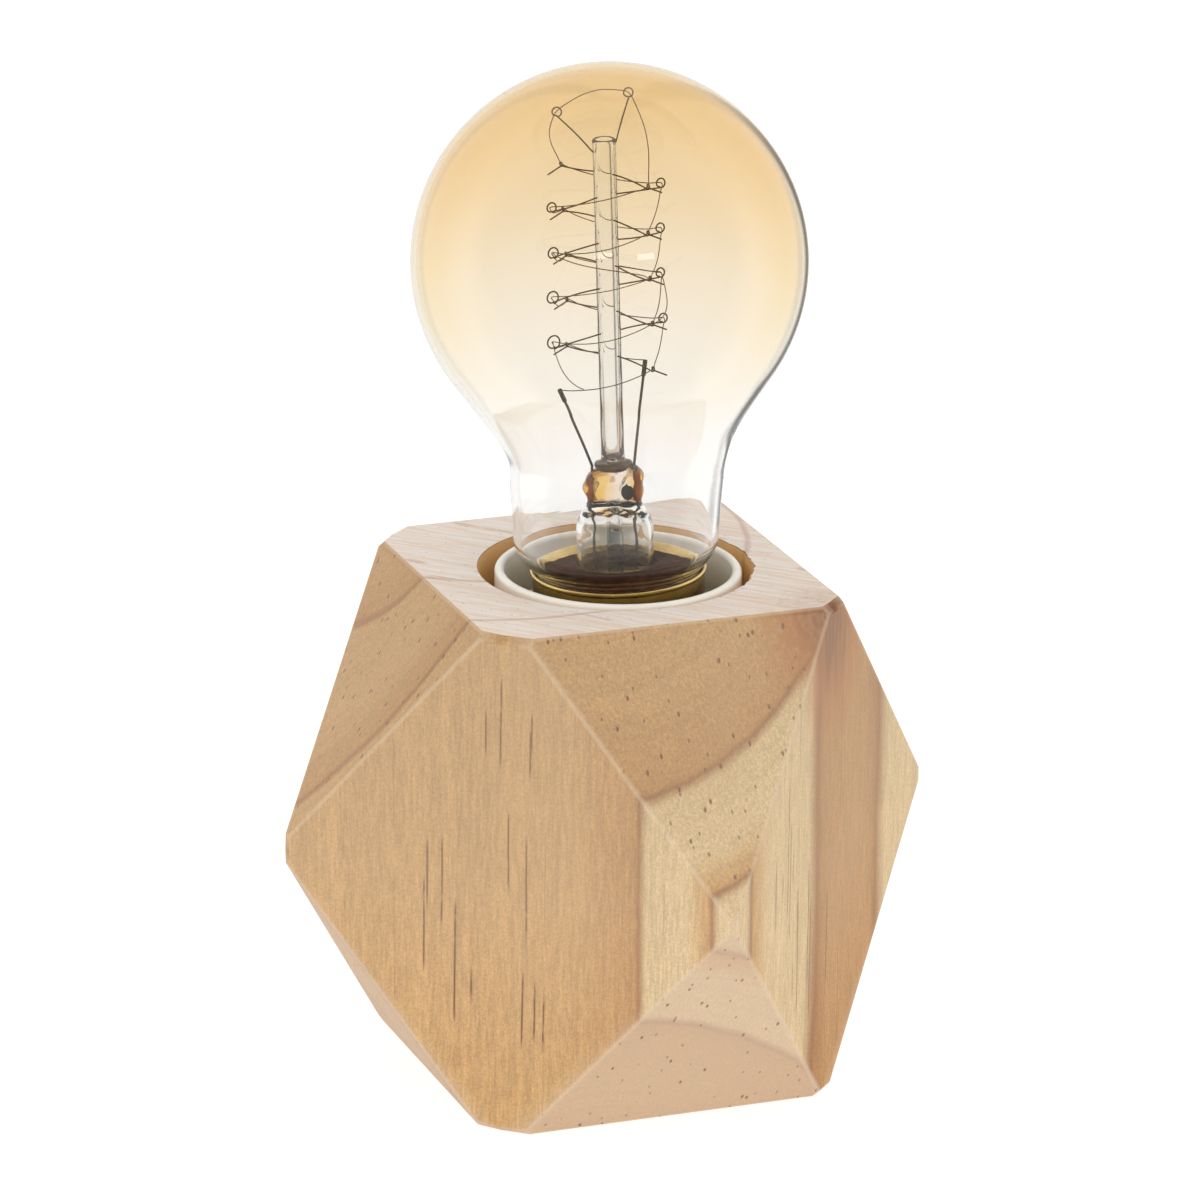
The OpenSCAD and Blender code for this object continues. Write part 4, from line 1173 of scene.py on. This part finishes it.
def side_hook(pair, side):
    root, end, radius = hook_ends(pair, side)
    path = curled(root, end, radius, HOOK_STRAY * stray(pair, side + 1))
    if pair % 2 == 0:
        path.append(path[-1] + TAIL_LENGTH * outward(end - root) - (0, 0, TAIL_DROPS[side]))
    return path


def top_hook(azimuth, reach, z, root_z):
    return curled(polar(azimuth, ARBOR_R, root_z), polar(azimuth, reach, z - EYE_R), EYE_R, HOOK_STRAY)


def hook_eye(pair, side):
    """The middle of a hook's curl, which the filament runs through."""
    _, end, radius = hook_ends(pair, side)
    return end + (0, 0, radius)


LEAD_SIDE = 3.2
LEAD_TOP = 28.6
LEAD_R = 0.42 / 2
LEAD_TIPS = ((-7, -6, LEAD_TOP), (5, 6, LEAD_TOP))   # left towards the viewer, right away
LEAD_BEND_Z = 17
LEAD_FEET = (((-11, 0, -7.2), (-5.7, 0, -7)), ((0.6, 0, -24.2), (1.9, 0, -18.5)))   # down in the cap
CRIMP_LENGTH = 2.2
CRIMP_R = 0.36
# In the pressed seal each lead is a thicker, copper-clad wire
SEAL_R = 0.45
SEAL_LOW = 11
SEAL_HIGH = 15.6


def lead(i):
    """A lead wire, up through the pressed seal and out to its tip; and its direction there."""
    side = LEAD_SIDE * (-1, 1)[i]
    tip = np.array(LEAD_TIPS[i])
    bend = np.array([side, 0, LEAD_BEND_Z])
    ahead = (tip - bend) / np.linalg.norm(tip - bend)
    path = [*LEAD_FEET[i], (side, 0, -6), (side, 0, 2), (side, 0, 10), bend - (0, 0, 1),
            bend + 1.2 * ahead, tip]
    return path, tip, ahead


FILAMENT_R = 0.16 / 2
FILAMENT_SAG = 0.9
FILAMENT_BOW = 0.5
CLIMB_BOW = 1.5         # bow of the lengths to and from the top hooks
ARCH_RISE = 1.6         # rise of the length between them
# Slack lengths that hang beside the route: from one hook to another, sag, bow
SLACK = (((4, 1), (5, 1), 1.0, 2.0), ((5, 1), (6, 0), 1.5, 1.5), ((3, 0), (4, 0), -0.6, 3.5))
LOOSE_FROM = (7, 0)         # one broken length hangs from this hook
LOOSE_END = np.array((-4.0, -7.0, 30.5))
LOOSE_SAG = 1.2
LOOSE_BOW = 0.8


def span(a, b, sag, bow):
    """From just after a to just before b, hanging a little and bowed outwards."""
    made = []
    for t in (0.15, 0.35, 0.5, 0.65, 0.85):
        middle = a + t * (b - a)
        swell = 4 * t * (1 - t)
        made.append(middle + bow * swell * outward(middle) - (0, 0, sag * swell))
    return made


def strung(stops):
    """The filament through its stops; no two lengths of it hang alike."""
    path = [stops[0]]
    for i in range(1, len(stops)):
        sag = FILAMENT_SAG * (1 + 0.5 * math.sin(1.9 * i + 1))
        path += span(stops[i - 1], stops[i], sag, FILAMENT_BOW * (1 + 0.6 * math.sin(2.7 * i)))
        path.append(stops[i])
    return path


def spiral(start):
    """One spiral of hooks, from the top down."""
    return [hook_eye(pair, (pair // 2 + start) % 2) for pair in range(HOOK_PAIRS)]


def filament_paths():
    """Up one spiral from the left lead, over the top, and down the other to the right lead."""
    starts = [tip + CRIMP_LENGTH * ahead for _, tip, ahead in (lead(0), lead(1))]
    up, down = spiral(0), spiral(1)
    right, left = polar(*TOP_RIGHT[:3]), polar(*TOP_LEFT[:3])
    route = strung([starts[0]] + up[::-1])
    route += span(up[0], right, 0, CLIMB_BOW) + [right]
    route += span(right, left, -ARCH_RISE, 0) + [left]
    route += span(left, down[0], 0, CLIMB_BOW)
    route += strung(down + [starts[1]])
    loose = []
    for first, last, sag, bow in SLACK:
        a, b = hook_eye(*first), hook_eye(*last)
        loose.append([a] + span(a, b, sag, bow) + [b])
    start = hook_eye(*LOOSE_FROM)
    loose.append([start] + span(start, LOOSE_END, LOOSE_SAG, LOOSE_BOW) + [LOOSE_END])
    return [route] + loose


def add_wires(name, paths, radius, material, slot, replaced, sides=8):
    shape = joined([tube(smooth_path(path), radius, sides) for path in paths])
    put_piece(name, shape, STEM, material, "bulb", slot, replaced, merge=WIRE_MERGE)


def make_wires(materials):
    hooks = {"left": [top_hook(*TOP_LEFT)], "right": [top_hook(*TOP_RIGHT)]}
    for pair in range(HOOK_PAIRS):
        for side in (0, 1):
            path = side_hook(pair, side)
            hooks["left" if path[-1][0] < 0 else "right"].append(path)
    for side, paths in hooks.items():
        add_wires("hooks_" + side, paths, HOOK_R, materials["wire"], "wire", "support_wires_" + side)
    leads = [lead(0), lead(1)]
    add_wires("lead_wires_bent", [path for path, _, _ in leads], LEAD_R, materials["lead"], "wire",
              "lead_wires", 12)
    seals = [[(side, 0, SEAL_LOW), (side, 0, (SEAL_LOW + SEAL_HIGH) / 2), (side, 0, SEAL_HIGH)]
             for side in (-LEAD_SIDE, LEAD_SIDE)]
    add_wires("lead_seals_copper", seals, SEAL_R, materials["seal"], "wire", "lead_wires", 16)
    crimps = [[tip - 0.2 * ahead, tip + 0.4 * CRIMP_LENGTH * ahead, tip + CRIMP_LENGTH * ahead]
              for _, tip, ahead in leads]
    add_wires("lead_crimps_folded", crimps, CRIMP_R, materials["lead"], "wire", "lead_crimps", 12)
    add_wires("filament_thread", filament_paths(), FILAMENT_R, materials["carbon"], "carbon", "filament", 6)


# ---------------------------------------------------------------- cap, shell and cement

THREAD_PITCH = 3.63
THREAD_DEPTH = 1.0
MALE_R = 12.6
FEMALE_R = 12.9
SHELL_WALL = 0.45
SHELL_EDGE = 0.2    # the edges of its end rings are broken by this much
CAP_RIM_R = 13.5
CAP_SKIRT = 4       # length of the plain part of the cap, which leans with the glass
THREAD_END = 21
CAP_WALL = 0.5      # of the threaded part
CAP_ROLL = 0.24     # the rim is rolled over by this radius
CAP_LINING_R = 11.6
CAP_END = 22.4      # from the rim to the end of the cap
CAP_END_R = 9.7
CAP_HOLE_R = 8.3


def threaded(z, angle):
    """How far the thread swings out at a height over the rim and an angle."""
    return THREAD_DEPTH / 2 * math.cos(angle - 2 * math.pi * z / THREAD_PITCH)


def threaded_sheet(outer, wall, low, high):
    """Points and faces of a thin threaded sheet; heights from the rim."""
    levels = np.linspace(low, high, int((high - low) / THREAD_PITCH * 14) + 1)
    outline = [(outer, float(z)) for z in levels] + [(outer - wall, float(z)) for z in levels[::-1]]
    return lathe(outline, 120, radius=lambda r, z, angle: r + threaded(z, angle))


def make_cap(material):
    """The threaded sheet, the rim that leans with the glass, and the shoulder at the end."""
    side = CAP_RIM_R - 0.35
    rim = [(side, -CAP_SKIRT), (side, -0.9)]
    rim += bezier((side, -0.9), (side + 0.02, -0.6), (CAP_RIM_R, -0.6), (CAP_RIM_R, -CAP_ROLL), 5)
    rim += arc((CAP_RIM_R - CAP_ROLL, -CAP_ROLL), CAP_ROLL, 10, 170, 8)
    rim += [(CAP_MOUTH, -0.5), (CAP_MOUTH, 0.5 - CAP_SKIRT), (CAP_LINING_R, 0.5 - CAP_SKIRT),
            (CAP_LINING_R, -CAP_SKIRT)]
    rim = [(float(r), float(z)) for r, z in rim]
    shoulder = [(12.1, -THREAD_END), (CAP_END_R, -CAP_END), (CAP_HOLE_R, -CAP_END),
                (CAP_HOLE_R, 0.8 - CAP_END), (11.4, 0.6 - THREAD_END), (12.0, 0.6 - THREAD_END)]
    thread = threaded_sheet(MALE_R, CAP_WALL, -THREAD_END, 0.3 - CAP_SKIRT)
    for name, shape, matrix in (("bulb_cap_thread", thread, HOLDER), ("bulb_cap_rim", lathe(rim), BULB),
                                ("bulb_cap_shoulder", lathe(shoulder, 96), HOLDER)):
        put_piece(name, shape, matrix, material, "bulb", "cap_metal", "bulb_cap")


def make_shell(material):
    """The threaded sheet, and the plain rings at both its ends."""
    low, high = (corner.z - RIM_Z for corner in box_mm("screw_shell"))
    thread = threaded_sheet(FEMALE_R + SHELL_WALL, SHELL_WALL, low + 0.9, high - 0.4)
    outer = FEMALE_R + THREAD_DEPTH / 2 + SHELL_WALL + 0.35
    edge = SHELL_EDGE
    ends = []
    for z0, z1, inner in ((low, low + 1.4, FEMALE_R - THREAD_DEPTH / 2 + 0.1),
                          (high - 0.9, high, FEMALE_R + THREAD_DEPTH / 2)):
        outline = [(inner, z0), (outer - edge, z0), (outer, z0 + edge), (outer, z1 - edge),
                   (outer - edge, z1), (inner + edge, z1), (inner, z1 - edge)]
        ends.append(lathe(outline, 120))
    for name, shape in (("screw_shell_thread", thread), ("screw_shell_rings", joined(ends))):
        put_piece(name, shape, HOLDER, material, "base", "shell_metal", "screw_shell")


def make_cement_and_shade_sheet(material):
    """Burnt cement: an uneven floor over the edge of the flare, which is also a dark sheet standing in for
    the shade inside the cap, and a ring of cement round the neck's end.
    """
    outline = [(5.6, -2.1), (CAP_LINING_R, -2.1), (CAP_LINING_R, -0.75), (11.2, -0.62), (8.6, -0.4),
               (6.9, 0.0), (6.2, 0.35), (5.7, 0.3)]
    points, faces = lathe(outline, 96)
    bumps = [(x, y, z + (0.06 * math.sin(1.9 * x + 0.7 * y) * math.cos(1.3 * y - 0.5 * x) if z > -1 else 0))
             for x, y, z in points]
    low, high, outer = -3.2, -1.7, CAP_MOUTH - 0.01
    ring = lathe([(outer - 0.33, low), (outer - 0.19, high), (outer, high), (outer, low)], 120)
    put_piece("capping_cement_and_shade_sheet", joined([(bumps, faces), ring]), BULB, material, "bulb", "cement",
              "capping_cement")


def make_felt(material):
    low, high = box_mm("felt_pad")
    radius = (high.x - low.x) / 2
    outline = [(0, low.z), (radius - 0.35, low.z), (radius - 0.05, low.z + 0.25), (radius, high.z - 0.3),
               (radius - 0.3, high.z), (0, high.z)]
    points, faces = lathe(outline, 160)
    points = [(x + 0.08 * math.sin(19 * math.atan2(y, x)), y, z) for x, y, z in points]
    put_piece("felt_pad_cut", (points, faces), LAMP, material, "base", "felt", "felt_pad")


# ---------------------------------------------------------------- lampholder ring and finishes

SKIRT_WALL = 1.5
SKIRT_LIP = 0.7     # radius of its rounded lip


def make_skirt(material):
    """The plain skirt of the lampholder, with a rounded lip."""
    low, lip_z = SKIRT_LOW.z, RIM_Z - SKIRT_LIP
    outer, inner = HOLDER_R, HOLDER_R - SKIRT_WALL
    outline = [(outer, low), (outer, lip_z)] + arc((outer - SKIRT_LIP, lip_z), SKIRT_LIP, 0, 90)
    outline += arc((inner + SKIRT_LIP, lip_z), SKIRT_LIP, 90, 180) + [(inner, low)]
    put_piece("holder_skirt_moulded", lathe(outline, 192), Matrix.Translation((HOLDER_X, 0, 0)),
              material, "base", "holder_plastic", "holder_skirt")


def plastic_material(name, colour):
    shader = Shader(name)
    place = shader.place()
    tinted = shader.shaded(colour, shader.step(shader.noise(place, 0.12, 3), 0.3, 0.7, 0.96, 1.02))
    grain = shader.noise(place, 2.5, 3)
    rough = shader.step(grain, 0.3, 0.7, 0.36, 0.48)
    return shader.finish(color=tinted, roughness=rough, normal=shader.bump(grain, 0.05, 0.05))


def metal_material(name, colour, roughness):
    shader = Shader(name)
    place = shader.place()
    tinted = shader.shaded(colour, shader.step(shader.noise(place, 0.2, 4), 0.3, 0.7, 0.86, 1.06))
    grain = shader.noise(shader.times(place, (1.0, 1.0, 6.0)), 1.2, 4, 0.6)
    rough = shader.step(grain, 0.25, 0.75, roughness - 0.06, roughness + 0.08)
    return shader.finish(color=tinted, roughness=rough, metallic=1.0, normal=shader.bump(grain, 0.06, 0.04))


# dark burnt cement; on the floor over the flare its dark tone also stands in for the shade inside the cap
def cement_material():
    shader = Shader("burnt_cement_and_shade")
    tone = shader.noise(shader.place(), 0.6, 5, 0.65)
    colour = shader.ramp(tone, [(0.3, srgb(40, 16, 10)), (0.55, srgb(68, 36, 24)), (0.8, srgb(112, 74, 52))])
    return shader.finish(color=colour, roughness=0.7, specular=0.1, normal=shader.bump(tone, 0.6, 0.3))


def felt_material():
    shader = Shader("felt")
    fuzz = shader.noise(shader.place(), 2.6, 6, 0.7)
    colour = shader.ramp(fuzz, [(0.3, srgb(66, 64, 62)), (0.7, srgb(112, 108, 104))])
    return shader.finish(color=colour, roughness=0.95, specular=0.1, sheen=0.4,
                         normal=shader.bump(fuzz, 0.8, 0.3))


# The CAD nodes that are shown as they are, by their finish
CAD_FINISHES = {
    "cream": ("cord_inlet_bush", "holder_cap"),
    "insert": ("contact_insert",),
    "steel": ("nipple", "flat_washer", "spring_washer", "hex_nut", "contact_rivets", "terminal_screws"),
    "brass": ("centre_contact", "centre_foot", "side_contact", "terminal_blocks"),
    "black": ("cap_insulator",),
    "solder": ("contact_tip", "side_solder"),
    "clear": ("exhaust_tube",)}


def make_materials():
    return {
        "wood": wood_material(),
        "felt": felt_material(),
        "cream": plastic_material("cream_plastic", srgb(238, 234, 220)),
        "ring": plastic_material("ring_plastic", srgb(255, 250, 238)),
        "insert": plastic_material("insert_plastic", srgb(226, 222, 210)),
        "steel": metal_material("zinc_steel", srgb(196, 196, 192), 0.32),
        "shell": metal_material("shell_metal", srgb(196, 178, 128), 0.3),
        "brass": metal_material("brass", srgb(214, 178, 100), 0.28),
        "cap": metal_material("cap_brass", srgb(222, 190, 116), 0.22),
        "black": plastic_material("black_glass", srgb(30, 24, 26)),
        "solder": metal_material("solder", srgb(188, 188, 190), 0.35),
        "cement": cement_material(),
        "stem": stem_glass_material(),
        "clear": clear_glass_material("tube_glass", srgb(255, 255, 254), TUBE_IOR),
        "bead": clear_glass_material("smoky_glass", srgb(150, 128, 100), STEM_IOR),
        "outer": amber_glass_material("bulb_outside", 1.0),
        "amber": amber_glass_material("amber_coat", 0.4),
        "seal": metal_material("copper_seal", srgb(176, 116, 34), 0.35),
        "wire": metal_material("hook_wire", srgb(110, 92, 66), 0.45),
        "lead": metal_material("lead_wire", srgb(92, 88, 78), 0.4),
        "carbon": plastic_material("carbon_thread", srgb(120, 96, 66)),
        "burnt": plastic_material("burnt_glass", srgb(44, 34, 28))}


def dress_cad_nodes(materials):
    for finish, names in CAD_FINISHES.items():
        for name in names:
            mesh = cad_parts[name].data
            mesh.materials.clear()
            mesh.materials.append(materials[finish])


# ---------------------------------------------------------------- everything

make_camera()
make_studio()
finishes = make_materials()
make_block(finishes["wood"])
make_felt(finishes["felt"])
make_skirt(finishes["ring"])
make_shell(finishes["shell"])
make_cap(finishes["cap"])
make_cement_and_shade_sheet(finishes["cement"])
make_stem(finishes["stem"])
make_blow_hole(finishes["burnt"])
make_arbor(finishes["clear"])
make_weld_bead(finishes["bead"])
make_wires(finishes)
make_bulb_glass(finishes["outer"], finishes["amber"])
dress_cad_nodes(finishes)
